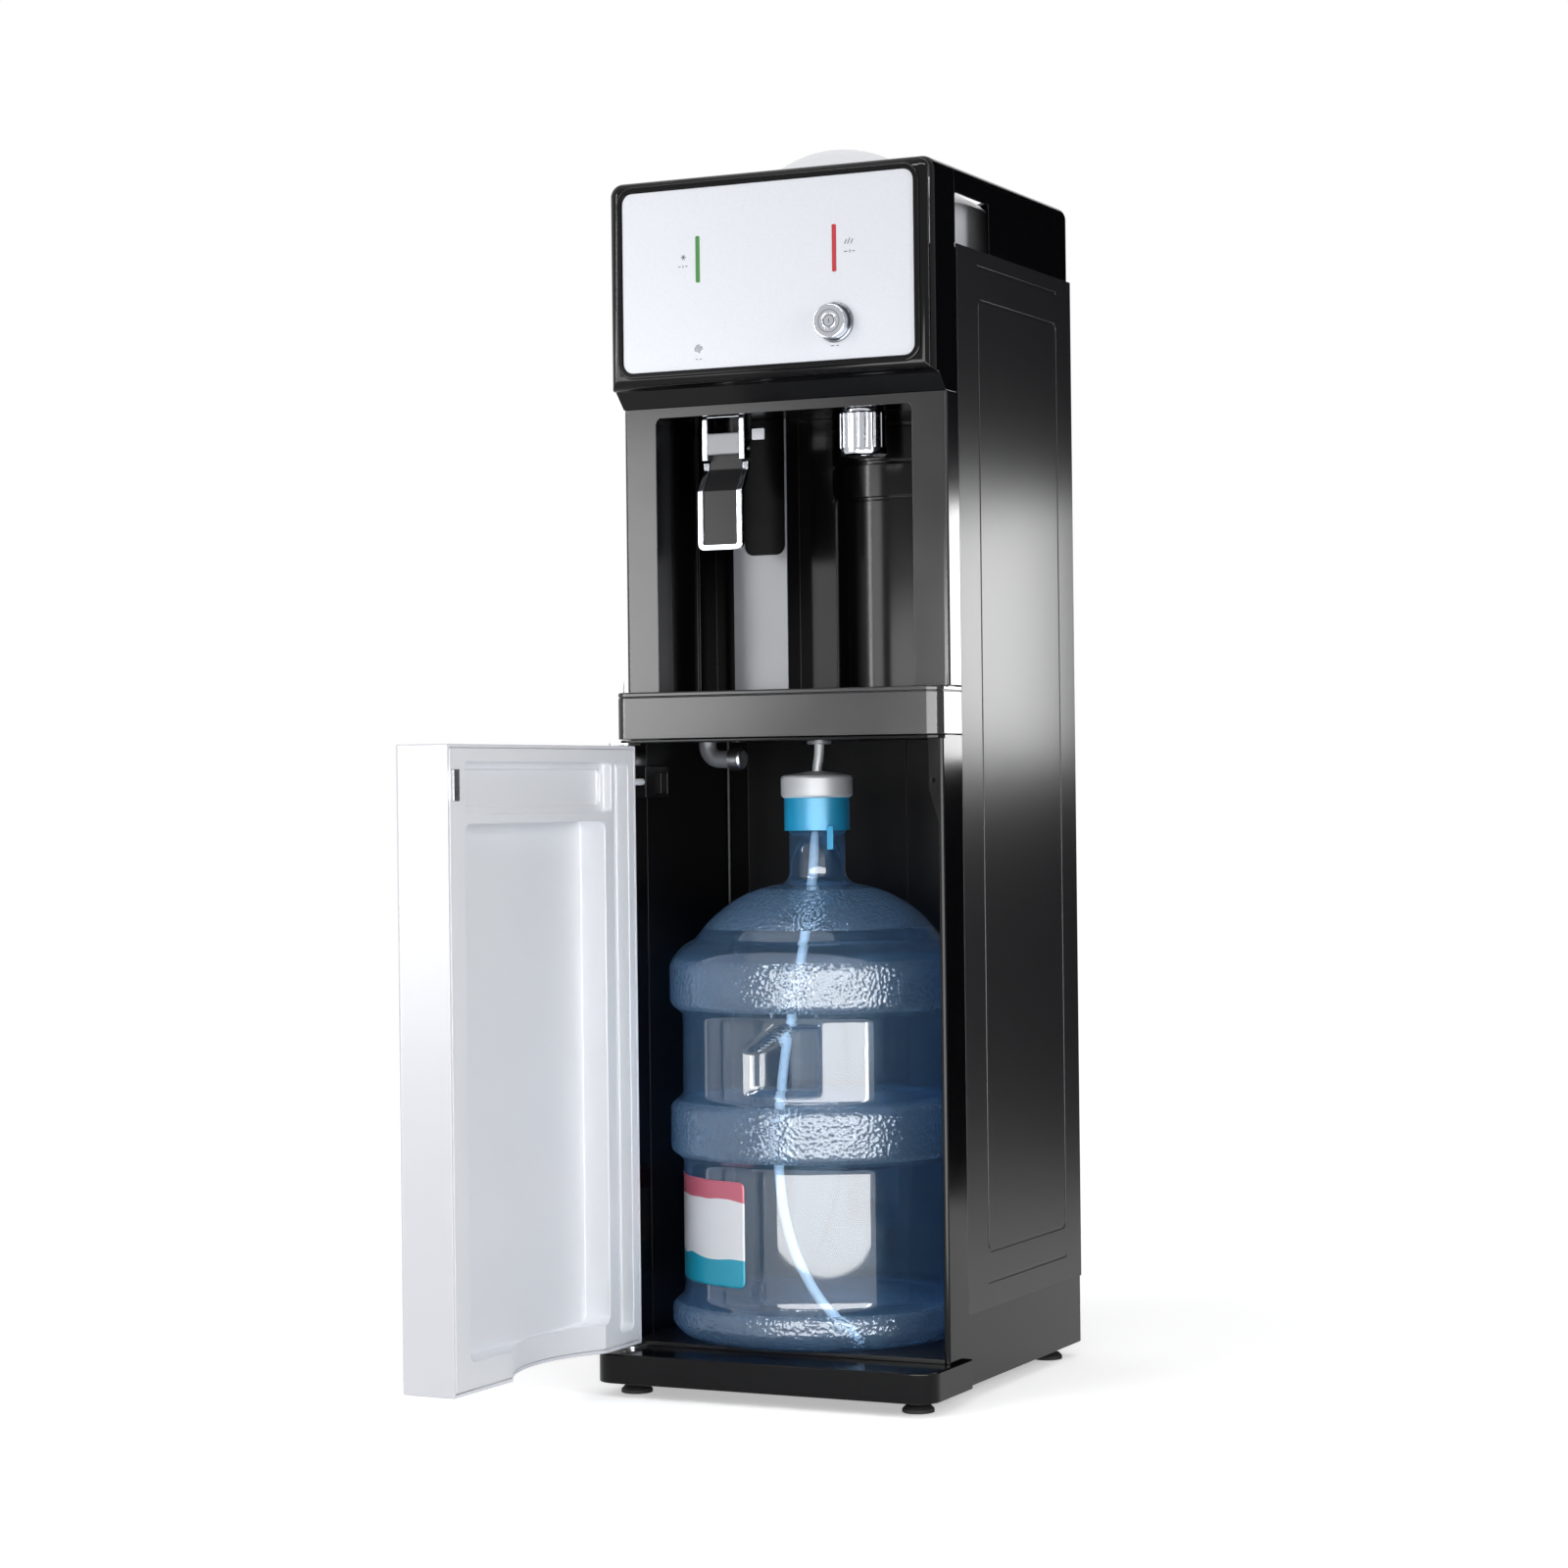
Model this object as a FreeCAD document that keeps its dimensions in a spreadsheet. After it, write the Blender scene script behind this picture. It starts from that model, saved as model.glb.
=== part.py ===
import FreeCAD, Part
import math
import os
from types import SimpleNamespace

# Bottom load water cooler. X to the right, Y to the back, Z up, in millimetres.
# The origin is on the floor, in the middle of the cabinet with its door closed.
# The door is stored open, so its pieces are drawn closed and then turned about the hinge pins.

SIZES = dict(
    # cabinet
    cabinet_width=313.6,
    cabinet_height=1072.7,
    rear_y=186.0,
    side_front_y=-88.8,
    side_bottom=73.7,
    side_top=1003.1,
    steel_sheet=1.5,
    wall=3.0,
    seat_gap=0.3,
    # side panel pressing
    pressing_inset_front=46.1,
    pressing_inset_rear=37.8,
    pressing_inset_bottom=48.9,
    pressing_inset_top=42.7,
    pressing_radius=8.0,
    pressing_line=2.6,
    pressing_depth=0.7,
    ridge_offset=27.0,
    return_flange=16.0,
    # base and feet
    base_bottom=12.0,
    lip_top=38.0,
    lip_half_width=162.5,
    lip_front_y=-186.5,
    lip_rear_y=-95.0,
    lip_corner=20.0,
    foot_radius=14.0,
    foot_pad_height=6.0,
    foot_stem_radius=6.0,
    foot_inset_side=27.0,
    foot_front_y=-152.0,
    foot_rear_y=150.0,
    boss_radius=11.0,
    platform_top=42.0,
    platform_dish=0.6,
    # bottle bay
    bay_half_width=152.0,
    bay_back_y=118.0,
    bay_ceiling=577.0,
    bay_wall=2.0,
    bay_panel_proud=2.0,
    bay_panel_right_x=14.0,
    bay_panel_left_x=-100.0,
    bay_rib_y=77.0,
    bay_rib_radius=3.2,
    rear_panel_y=150.0,
    frame_front_y=-132.0,
    tab_width=8.7,
    tab_thickness=3.0,
    tab_height=47.0,
    tab_slope=28.0,
    tab_hole_radius=2.0,
    strip_thickness=2.8,
    strip_front_y=-138.0,
    # machine deck
    deck_sheet=2.0,
    # niche
    niche_face_y=-116.5,
    niche_half_width=124.3,
    niche_frame_top=873.3,
    niche_opening_top=864.0,
    niche_corner=5.0,
    niche_ceiling=868.0,
    niche_back_y=0.0,
    niche_wall=2.0,
    niche_ledge_y=-43.0,
    niche_ledge_top=615.0,
    pilaster_left_x=-93.0,
    pilaster_right_x=-39.0,
    pilaster_depth=25.0,
    side_rib_front_y=-39.0,
    side_rib_width=15.0,
    side_rib_proud=3.0,
    column_x=62.0,
    column_y=35.0,
    column_radius=75.0,
    column_step=2.0,
    groove_height=3.2,
    groove_depth=2.4,
    lower_groove_z=788.5,
    groove_pitch=32.3,
    splash_bottom=616.0,
    splash_sheet=1.5,
    inset_left_x=-81.4,
    inset_right_x=-41.0,
    inset_bottom=745.0,
    inset_corner=9.0,
    lamp_width=12.0,
    lamp_height=10.0,
    lamp_z=855.0,
    # head
    head_face_y=-145.0,
    head_bottom=887.8,
    head_chin_y=-131.0,
    head_rear_y=-93.0,
    head_round=12.0,
    panel_half_width=141.0,
    panel_bottom=901.5,
    panel_top=1061.5,
    panel_corner=10.0,
    panel_sheet=1.6,
    panel_recess=1.0,
    trim_width=5.2,
    trim_proud=2.2,
    control_x=66.0,
    bar_width=4.0,
    bar_height=41.0,
    bar_z=998.4,
    bar_proud=0.4,
    power_ring_z=919.5,
    power_ring_radius=4.0,
    button_z=934.0,
    button_radius=15.0,
    button_proud=13.0,
    button_travel=4.0,
    button_skirt=3.6,
    bezel_ring_width=2.0,
    board_thickness=1.6,
    board_standoff=3.0,
    # hood, deck and lid
    hand_hole_front_y=-91.5,
    hand_hole_rear_y=-14.3,
    hand_hole_top=1047.4,
    hand_hole_corner=3.0,
    lid_y=20.0,
    lid_radius=133.5,
    lid_clearance=2.0,
    lid_skirt=50.0,
    lid_wall=2.5,
    lid_top=1114.0,
    lid_cone_radius=46.0,
    lid_cone_top=1103.0,
    lid_shoulder=6.0,
    top_deck_z=1000.0,
    lid_ring_height=8.0,
    # taps
    tap_x=67.0,
    outlet_y=-90.0,
    outlet_radius=21.0,
    outlet_bottom=822.5,
    outlet_top=861.0,
    outlet_bore=8.0,
    flute_radius=1.7,
    flute_count=18,
    collar_radius=18.5,
    bracket_half_width=21.0,
    cheek_width=5.5,
    cheek_front_y=-98.0,
    cheek_rear_y=-84.0,
    cheek_bottom=826.0,
    bridge_thickness=4.0,
    cover_bottom=831.0,
    cover_top=850.0,
    cover_rear_y=-93.0,
    pin_y=-88.0,
    pin_z=836.0,
    pin_radius=2.0,
    pin_clearance=0.06,
    hub_half_depth=3.5,
    hub_rise=4.0,
    lever_half_width=22.0,
    lever_bar=5.5,
    lever_top=824.4,
    lever_bend_top=818.0,
    lever_bend_bottom=798.0,
    lever_bottom=745.0,
    lever_offset=13.0,
    lever_depth=6.0,
    lever_corner=6.0,
    paddle_depth=3.0,
    spout_y=-70.0,
    spout_radius=9.0,
    spout_bottom=800.0,
    spout_tip_radius=6.5,
    spout_tip_height=8.0,
    spout_bore=4.0,
    # drip tray
    tray_half_width=157.3,
    tray_front_y=-141.0,
    tray_top=619.2,
    tray_bottom=577.7,
    tray_wing_rear_y=-90.0,
    tray_corner=12.0,
    tray_line_depth=0.8,
    tray_line_height=1.2,
    tray_line_drop=5.0,
    basin_side_gap=0.5,
    basin_floor_z=583.4,
    basin_wall=2.0,
    basin_shelf_width=2.0,
    grille_thickness=3.0,
    grille_drop=3.2,
    grille_gap=0.5,
    slot_width=4.0,
    slot_pitch=11.0,
    slot_margin=9.0,
    # door
    door_half_width=157.0,
    door_thickness=51.0,
    door_inner_y=-135.5,
    door_bottom=41.7,
    door_top=571.7,
    door_wall=3.0,
    door_corner=5.0,
    liner_depth=27.5,
    liner_gap=0.3,
    liner_edge_gap=1.2,
    door_open_angle=91.0,
    hinge_x=-149.5,
    hinge_y=-149.5,
    hinge_pin_radius=3.0,
    hinge_pin_length=15.0,
    hinge_pin_gap=0.08,
    hinge_plate=1.9,
    channel_left_x=-143.0,
    channel_right_x=-118.0,
    channel_bottom=56.0,
    channel_depth=12.0,
    recess_left_x=-101.0,
    recess_right_x=130.0,
    recess_bottom=67.0,
    recess_top=506.0,
    recess_depth=25.0,
    recess_corner=8.0,
    ledge_recess_bottom=514.0,
    ledge_recess_top=557.0,
    ledge_recess_depth=8.0,
    ledge_step=6.0,
    scoop_clearance=3.0,
    magnet_x=147.5,
    magnet_z=538.0,
    magnet_width=9.0,
    magnet_height=26.0,
    magnet_proud=3.0,
    # door switch
    switch_front_y=-108.0,
    switch_rear_y=-63.0,
    switch_bottom=525.6,
    switch_top=554.0,
    switch_depth=9.0,
    plunger_radius=3.0,
    plunger_reach=22.0,
    plunger_travel=4.0,
    plunger_gap=0.3,
    # bottle
    bottle_x=-14.0,
    bottle_y=-22.0,
    bottle_radius=135.0,
    bottle_waist=123.7,
    bottle_foot=116.0,
    bottle_wall=1.3,
    band_one_top=33.0,
    band_two_bottom=163.0,
    band_two_top=212.0,
    band_three_bottom=294.0,
    band_three_top=338.0,
    band_bevel=5.0,
    shoulder_edge_round=40.0,
    step_ring_radius=112.0,
    step_ring_z=352.0,
    shoulder_radius=104.0,
    shoulder_z=366.0,
    shoulder_round=112.0,
    neck_base_z=407.0,
    neck_radius=25.5,
    neck_flare=33.0,
    neck_top_z=474.0,
    cap_radius=29.6,
    cap_gap=0.15,
    cap_bottom_z=453.0,
    cap_top_z=482.5,
    cap_ceiling=2.5,
    cap_bore=9.0,
    tab_drop=17.0,
    probe_cap_radius=32.4,
    probe_cap_height=22.0,
    probe_cap_rise=3.0,
    probe_bore=6.2,
    # hose and drain
    hose_radius=4.4,
    gland_x=-11.5,
    gland_y=-20.8,
    gland_radius=11.0,
    gland_bore=3.0,
    gland_height=5.0,
    drain_x=-131.0,
    drain_y=-8.0,
    drain_z=560.0,
    drain_radius=8.0,
    drain_reach=24.0,
    drain_bend=13.0,
    coupling_radius=10.0,
    coupling_length=13.0,
    # machine space
    compressor_x=-72.0,
    compressor_y=80.0,
    compressor_radius=58.0,
    compressor_height=150.0,
    mount_radius=9.0,
    mount_height=8.0,
    tank_x=-72.0,
    tank_y=77.0,
    cold_tank_radius=58.0,
    cold_tank_bottom=838.0,
    cold_tank_top=972.0,
    foam_thickness=12.0,
    hot_tank_x=78.0,
    hot_tank_y=80.0,
    hot_tank_radius=46.0,
    hot_tank_bottom=800.0,
    hot_tank_top=965.0,
    pump_x=60.0,
    pump_y=50.0,
    pump_radius=22.0,
    pump_length=70.0,
    tube_radius=4.0,
    feed_rise=16.0,
    # rear
    inlet_x=-100.0,
    inlet_z=130.0,
    inlet_width=31.0,
    inlet_height=24.0,
    inlet_depth=22.0,
    drain_plug_x=60.0,
    drain_plug_pitch=45.0,
    drain_plug_z=604.0,
    drain_plug_radius=9.0,
    drain_plug_length=9.5,
    louvre_width=110.0,
    louvre_height=4.0,
    louvre_pitch=14.0,
    louvre_count=10,
    louvre_z=610.0,
    condenser_y=166.0,
    condenser_half_width=118.0,
    condenser_bottom=215.0,
    condenser_pitch=56.0,
    condenser_passes=13,
    condenser_tube_radius=2.4,
    wire_size=1.6,
    wire_gap=0.2,
    wire_count=15,
    strap_height=14.0,
)

doc = FreeCAD.newDocument("water_cooler")
sheet = doc.addObject("Spreadsheet::Sheet", "Sizes")


class Size:
    """A length or angle that carries its number and its formula in the sheet."""

    def __init__(self, value, text):
        self.value = float(value)
        self.text = text

    def __add__(self, other):
        return join(self, "+", other)

    def __radd__(self, other):
        return join(other, "+", self)

    def __sub__(self, other):
        return join(self, "-", other)

    def __rsub__(self, other):
        return join(other, "-", self)

    def __mul__(self, other):
        return join(self, "*", other)

    def __rmul__(self, other):
        return join(other, "*", self)

    def __truediv__(self, other):
        return join(self, "/", other)

    def __neg__(self):
        return join(-1.0, "*", self)


def lift(number):
    if isinstance(number, Size):
        return number
    return Size(number, f"({float(number):.6f})")


def join(left, sign, right):
    left = lift(left)
    right = lift(right)
    results = {
        "+": left.value + right.value,
        "-": left.value - right.value,
        "*": left.value * right.value,
        "/": left.value / right.value if right.value else 0.0,
    }
    return Size(results[sign], f"({left.text} {sign} {right.text})")


def make_sheet():
    named = {}
    for row, (name, value) in enumerate(SIZES.items(), 1):
        sheet.set(f"A{row}", name)
        sheet.set(f"B{row}", str(value))
        sheet.setAlias(f"B{row}", name)
        named[name] = Size(value, f"Sizes.{name}")
    doc.recompute()
    return SimpleNamespace(**named)


d = make_sheet()
half_width = d.cabinet_width / 2
parts = []
made = {"count": 0}


# ---------- shapes that follow the sheet ----------

def fresh(kind, stem):
    made["count"] += 1
    return doc.addObject(kind, f"{stem}_{made['count']}")


def bind(thing, prop, size):
    thing.setExpression(prop, lift(size).text)


def move(thing, x, y, z):
    for axis, size in zip("xyz", (x, y, z)):
        bind(thing, f"Placement.Base.{axis}", size)
    return thing


def box(x0, x1, y0, y1, z0, z1):
    block = fresh("Part::Box", "block")
    bind(block, "Length", x1 - x0)
    bind(block, "Width", y1 - y0)
    bind(block, "Height", z1 - z0)
    return move(block, x0, y0, z0)


TURNS = {
    "X": FreeCAD.Rotation(FreeCAD.Vector(0, 1, 0), 90),
    "Y": FreeCAD.Rotation(FreeCAD.Vector(1, 0, 0), -90),
    "Z": FreeCAD.Rotation(),
}


def rod(radius, axis, x, y, z, length):
    """A cylinder that starts at x, y, z and runs along +axis."""
    bar = fresh("Part::Cylinder", "rod")
    bind(bar, "Radius", radius)
    bind(bar, "Height", length)
    bar.Placement = FreeCAD.Placement(FreeCAD.Vector(), TURNS[axis])
    return move(bar, x, y, z)


def cone(low_radius, high_radius, x, y, z, length):
    shape = fresh("Part::Cone", "cone")
    bind(shape, "Radius1", low_radius)
    bind(shape, "Radius2", high_radius)
    bind(shape, "Height", length)
    return move(shape, x, y, z)


def fuse(*shapes):
    joined = fresh("Part::MultiFuse", "joined")
    joined.Shapes = list(shapes)
    return joined


def cut(base, *tools):
    result = fresh("Part::Cut", "cut")
    result.Base = base
    result.Tool = tools[0] if len(tools) == 1 else fuse(*tools)
    return result


def common(first, second):
    result = fresh("Part::Common", "common")
    result.Base = first
    result.Tool = second
    return result


def run_of(edge):
    """The unit direction of a straight edge, or None."""
    if not isinstance(edge.Curve, (Part.Line, Part.LineSegment)):
        return None
    start, end = edge.firstVertex().Point, edge.lastVertex().Point
    return (end - start).normalize()


def parallel(edge, axis):
    run = run_of(edge)
    return run is not None and abs(run.dot(axis)) > 0.999


X, Y, Z = FreeCAD.Vector(1, 0, 0), FreeCAD.Vector(0, 1, 0), FreeCAD.Vector(0, 0, 1)


def rounded(base, radius, wanted):
    """Round the edges of base for which wanted(edge) is true."""
    doc.recompute()
    picked = [n for n, edge in enumerate(base.Shape.Edges, 1) if wanted(edge)]
    if not picked:
        raise RuntimeError(f"{base.Name}: no edge to round")
    soft = fresh("Part::Fillet", "soft")
    soft.Base = base
    soft.Edges = [(n, lift(radius).value, lift(radius).value) for n in picked]
    return soft


def near(number, size):
    return abs(number - lift(size).value) < 0.01


def centre(edge):
    return edge.BoundBox.Center


def part(label, shape):
    """Keep shape as a sub-part under its own label."""
    shape.Label = label
    parts.append(shape)
    return shape


# ---------- sketched bodies ----------

def new_body():
    return fresh("PartDesign::Body", "body")


def plane_of(body, role):
    for feature in body.Origin.OriginFeatures:
        if feature.Role == role:
            return feature
    raise RuntimeError(f"no {role}")


def new_sketch(body, role, offset):
    made["count"] += 1
    sketch = body.newObject("Sketcher::SketchObject", f"sketch_{made['count']}")
    sketch.AttachmentSupport = (plane_of(body, role), [""])
    sketch.MapMode = "FlatFace"
    bind(sketch, "AttachmentOffset.Base.z", offset)
    return sketch


def fix(sketch, kind, geometry, point, size):
    """Fix a point's distance from the sketch origin to a size of the sheet."""
    size = lift(size)
    if size.text.startswith("(") and abs(size.value) < 1e-9:
        axis = -2 if kind == "DistanceX" else -1
        if (geometry, point) != (-1, 1):
            import_line = ("PointOnObject", geometry, point, axis)
            sketch.addConstraint(constraint(*import_line))
        return
    index = sketch.addConstraint(constraint(kind, -1, 1, geometry, point, size.value))
    sketch.setExpression(f"Constraints[{index}]", size.text)


def constraint(*words):
    import Sketcher

    return Sketcher.Constraint(*words)


def bulge_arc(start, end, radius):
    """The arc from start to end; a positive radius bends it to the right of the way."""
    chord = end - start
    half = chord.Length / 2
    reach = max(abs(radius), half * 1.0001)
    sagitta = reach - math.sqrt(reach * reach - half * half)
    side = FreeCAD.Vector(chord.y, -chord.x, 0).normalize()
    if radius < 0:
        side = side * -1
    middle = (start + end) * 0.5 + side * sagitta
    return Part.Arc(start, middle, end).toShape().Curve, middle


def outline(sketch, points):
    """A closed outline. Each point is (u, v), or (u, v, radius) where an arc starts."""
    spots = [FreeCAD.Vector(lift(p[0]).value, lift(p[1]).value, 0) for p in points]
    ends = []
    for n, point in enumerate(points):
        start, end = spots[n], spots[(n + 1) % len(points)]
        if len(point) == 2:
            index = sketch.addGeometry(Part.LineSegment(start, end), False)
            ends.append((index, 1, 2))
            continue
        radius = lift(point[2])
        circle, middle = bulge_arc(start, end, radius.value)
        first = math.atan2(start.y - circle.Center.y, start.x - circle.Center.x)
        last = math.atan2(end.y - circle.Center.y, end.x - circle.Center.x)
        flat = Part.Circle(circle.Center, Z, circle.Radius)
        turn = (start - circle.Center).cross(middle - circle.Center).z
        if turn > 0:
            index = sketch.addGeometry(Part.ArcOfCircle(flat, first, last), False)
            ends.append((index, 1, 2))
        else:
            index = sketch.addGeometry(Part.ArcOfCircle(flat, last, first), False)
            ends.append((index, 2, 1))
        size = radius if radius.value > 0 else -radius
        index = sketch.addConstraint(constraint("Radius", index, size.value))
        sketch.setExpression(f"Constraints[{index}]", size.text)
    for n, (index, _, last) in enumerate(ends):
        following, first, _ = ends[(n + 1) % len(ends)]
        sketch.addConstraint(constraint("Coincident", index, last, following, first))
    for n, point in enumerate(points):
        index, first, _ = ends[n]
        fix(sketch, "DistanceX", index, first, point[0])
        fix(sketch, "DistanceY", index, first, point[1])


def rounded_rectangle(sketch, left, right, bottom, top, radius):
    """Four lines and four arcs, tangent all round, with its sides and radius from the sheet."""
    l, r, b, t, q = (lift(size).value for size in (left, right, bottom, top, radius))
    half_turn = math.pi / 2
    corners = [(r - q, t - q, 0), (l + q, t - q, 1), (l + q, b + q, 2), (r - q, b + q, 3)]
    arcs = []
    for x, y, quarter in corners:
        circle = Part.Circle(FreeCAD.Vector(x, y, 0), Z, q)
        arc = Part.ArcOfCircle(circle, quarter * half_turn, (quarter + 1) * half_turn)
        arcs.append(sketch.addGeometry(arc, False))
    spots = [((r - q, t), (l + q, t)), ((l, t - q), (l, b + q)),
             ((l + q, b), (r - q, b)), ((r, b + q), (r, t - q))]
    lines = []
    for start, end in spots:
        segment = Part.LineSegment(FreeCAD.Vector(*start, 0), FreeCAD.Vector(*end, 0))
        lines.append(sketch.addGeometry(segment, False))
    for n in range(4):
        sketch.addConstraint(constraint("Tangent", arcs[n], 2, lines[n], 1))
        sketch.addConstraint(constraint("Tangent", lines[n], 2, arcs[(n + 1) % 4], 1))
        kind = "Horizontal" if n % 2 == 0 else "Vertical"
        sketch.addConstraint(constraint(kind, lines[n]))
    for n in range(1, 4):
        sketch.addConstraint(constraint("Equal", arcs[0], arcs[n]))
    size = lift(radius)
    index = sketch.addConstraint(constraint("Radius", arcs[0], size.value))
    sketch.setExpression(f"Constraints[{index}]", size.text)
    fix(sketch, "DistanceY", lines[0], 1, top)
    fix(sketch, "DistanceX", lines[1], 1, left)
    fix(sketch, "DistanceY", lines[2], 1, bottom)
    fix(sketch, "DistanceX", lines[3], 1, right)


def circle_at(sketch, x, y, radius):
    middle = FreeCAD.Vector(lift(x).value, lift(y).value, 0)
    index = sketch.addGeometry(Part.Circle(middle, Z, lift(radius).value), False)
    fix(sketch, "DistanceX", index, 3, x)
    fix(sketch, "DistanceY", index, 3, y)
    size = lift(radius)
    index = sketch.addConstraint(constraint("Radius", index, size.value))
    sketch.setExpression(f"Constraints[{index}]", size.text)


def feature(body, kind, sketch, length=None, backwards=False):
    """A pad, pocket or revolution, checked to add or remove material."""
    doc.recompute()
    before = body.Shape.Volume if body.Tip else 0.0
    made["count"] += 1
    step = body.newObject(f"PartDesign::{kind}", f"{kind.lower()}_{made['count']}")
    step.Profile = sketch
    if kind == "Revolution":
        step.ReferenceAxis = (sketch, ["V_Axis"])
        step.Angle = 360.0
    else:
        bind(step, "Length", length)
        step.Reversed = backwards
    doc.recompute()
    changed = body.Shape.Volume - before
    if (kind == "Pocket") == (changed > -1e-6):
        raise RuntimeError(f"{body.Label}: {kind} did nothing")
    return step


def turned(label, profile, x, y, z):
    """A body turned about the vertical line through x, y, from (radius, height) points."""
    body = new_body()
    sketch = new_sketch(body, "XZ_Plane", 0)
    outline(sketch, profile)
    feature(body, "Revolution", sketch)
    move(body, x, y, z)
    return part(label, body)


def soften(body, radius, wanted):
    """A fillet on the body's edges for which wanted(edge) is true."""
    doc.recompute()
    picked = [f"Edge{n}" for n, edge in enumerate(body.Shape.Edges, 1) if wanted(edge)]
    if not picked:
        raise RuntimeError(f"{body.Label}: no edge to soften")
    made["count"] += 1
    tip = body.Tip
    step = body.newObject("PartDesign::Fillet", f"fillet_{made['count']}")
    step.Base = (tip, picked)
    bind(step, "Radius", radius)
    doc.recompute()
    return step


def block_with_corners(x0, x1, y0, y1, z0, z1, radius, axis):
    """A box whose four edges along axis are round."""
    return rounded(box(x0, x1, y0, y1, z0, z1), radius, lambda edge: parallel(edge, axis))


def solid_piece(label, shape):
    """A sub-part whose shape Part's own functions made."""
    piece = doc.addObject("Part::Feature", label)
    piece.Shape = shape
    return part(label, piece)


# ---------- base ----------

def foot_places():
    side = d.lip_half_width - d.foot_inset_side
    return [(x, y) for y in (d.foot_front_y, d.foot_rear_y) for x in (-side, side)]


def levelling_feet():
    feet = []
    for x, y in foot_places():
        bevel = d.foot_pad_height / 2
        pad = rod(d.foot_radius, "Z", x, y, 0, bevel)
        slope = cone(d.foot_radius, d.foot_radius - bevel, x, y, bevel, bevel)
        stem = rod(d.foot_stem_radius, "Z", x, y, d.foot_pad_height,
                   d.base_bottom - d.foot_pad_height)
        feet.append(fuse(pad, slope, stem))
    part("levelling_feet", fuse(*feet))


def foot_bosses(y_size, top):
    side = d.lip_half_width - d.foot_inset_side
    return [rod(d.boss_radius, "Z", x, y_size, d.base_bottom, top - d.base_bottom)
            for x in (-side, side)]


def base_lip():
    body = box(-d.lip_half_width, d.lip_half_width, d.lip_front_y, d.lip_rear_y,
               d.base_bottom, d.lip_top)
    front = lift(d.lip_front_y).value
    body = rounded(body, d.lip_corner,
                   lambda edge: parallel(edge, Z) and near(centre(edge).y, front))
    body = rounded(body, d.wall / 2,
                   lambda edge: near(centre(edge).z, d.lip_top) and centre(edge).y < -96)
    inside = box(-d.lip_half_width + d.wall, d.lip_half_width - d.wall,
                 d.lip_front_y + d.wall, d.lip_rear_y - d.wall,
                 d.base_bottom - 1, d.lip_top - d.wall)
    inside = rounded(inside, d.lip_corner - d.wall,
                     lambda edge: parallel(edge, Z) and centre(edge).y < -150)
    bosses = foot_bosses(d.foot_front_y, d.lip_top - d.wall)
    part("base_lip", fuse(cut(body, inside), *bosses))


def base_rear():
    side = half_width - 1
    rear = d.rear_y - 1
    body = box(-side, side, d.lip_rear_y, rear, d.base_bottom, d.side_bottom)
    well = box(-d.bay_half_width - d.bay_wall, d.bay_half_width + d.bay_wall,
               d.lip_rear_y - 1, rear - d.wall, d.lip_top, d.side_bottom + 1)
    shoulder = box(-side - 1, side + 1, d.lip_rear_y - 1, d.side_front_y, d.lip_top,
                   d.side_bottom + 1)
    under = box(-side + d.wall, side - d.wall, d.lip_rear_y + d.wall, rear - d.wall,
                d.base_bottom - 1, d.lip_top - d.wall)
    bosses = foot_bosses(d.foot_rear_y, d.lip_top - d.wall)
    web = box(-d.wall / 2, d.wall / 2, d.lip_rear_y + d.wall, rear - d.wall,
              d.base_bottom + 4, d.lip_top - d.wall)
    part("base_rear", fuse(cut(body, well, shoulder, under), web, *bosses))


def bottle_platform():
    gap = d.seat_gap
    plate = box(-d.bay_half_width + gap, d.bay_half_width - gap,
                d.frame_front_y, d.bay_back_y - gap, d.lip_top, d.platform_top)
    dish = rod(d.bottle_radius + 2, "Z", d.bottle_x, d.bottle_y,
               d.platform_top - d.platform_dish, d.platform_dish + 1)
    part("bottle_platform", cut(plate, dish))


# ---------- cabinet sheet work ----------

def pressed_line(y0, y1, z0, z1, outer_x, inner_x):
    """The narrow rectangular channel pressed into a side panel."""
    line = d.pressing_line
    outer = block_with_corners(inner_x, outer_x, y0, y1, z0, z1, d.pressing_radius, X)
    inner = block_with_corners(inner_x - 1, outer_x + 1, y0 + line, y1 - line,
                               z0 + line, z1 - line, d.pressing_radius - line, X)
    return cut(outer, inner)


def side_panel(label, sign):
    def sheet_box(inner, outer, y0, y1, z0, z1):
        low, high = (inner, outer) if sign > 0 else (-outer, -inner)
        return box(low, high, y0, y1, z0, z1)

    inside = half_width - d.steel_sheet
    skin = sheet_box(inside, half_width, d.side_front_y, d.rear_y, d.side_bottom, d.side_top)
    flange = sheet_box(half_width - d.return_flange, inside, d.rear_y - d.steel_sheet,
                       d.rear_y, d.side_bottom, d.side_top)
    y0 = d.side_front_y + d.pressing_inset_front
    y1 = d.rear_y - d.pressing_inset_rear
    z0 = d.side_bottom + d.pressing_inset_bottom
    z1 = d.side_top - d.pressing_inset_top
    face = half_width - d.pressing_depth
    if sign > 0:
        line = pressed_line(y0, y1, z0, z1, half_width + 1, face)
    else:
        line = pressed_line(y0, y1, z0, z1, -face, -half_width - 1)
    ridges = []
    for z in (z0 - d.ridge_offset, z1 + d.ridge_offset):
        ridges.append(sheet_box(face, half_width + 1, y0, y1, z, z + d.pressing_line))
    part(label, cut(fuse(skin, flange), line, *ridges))


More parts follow.
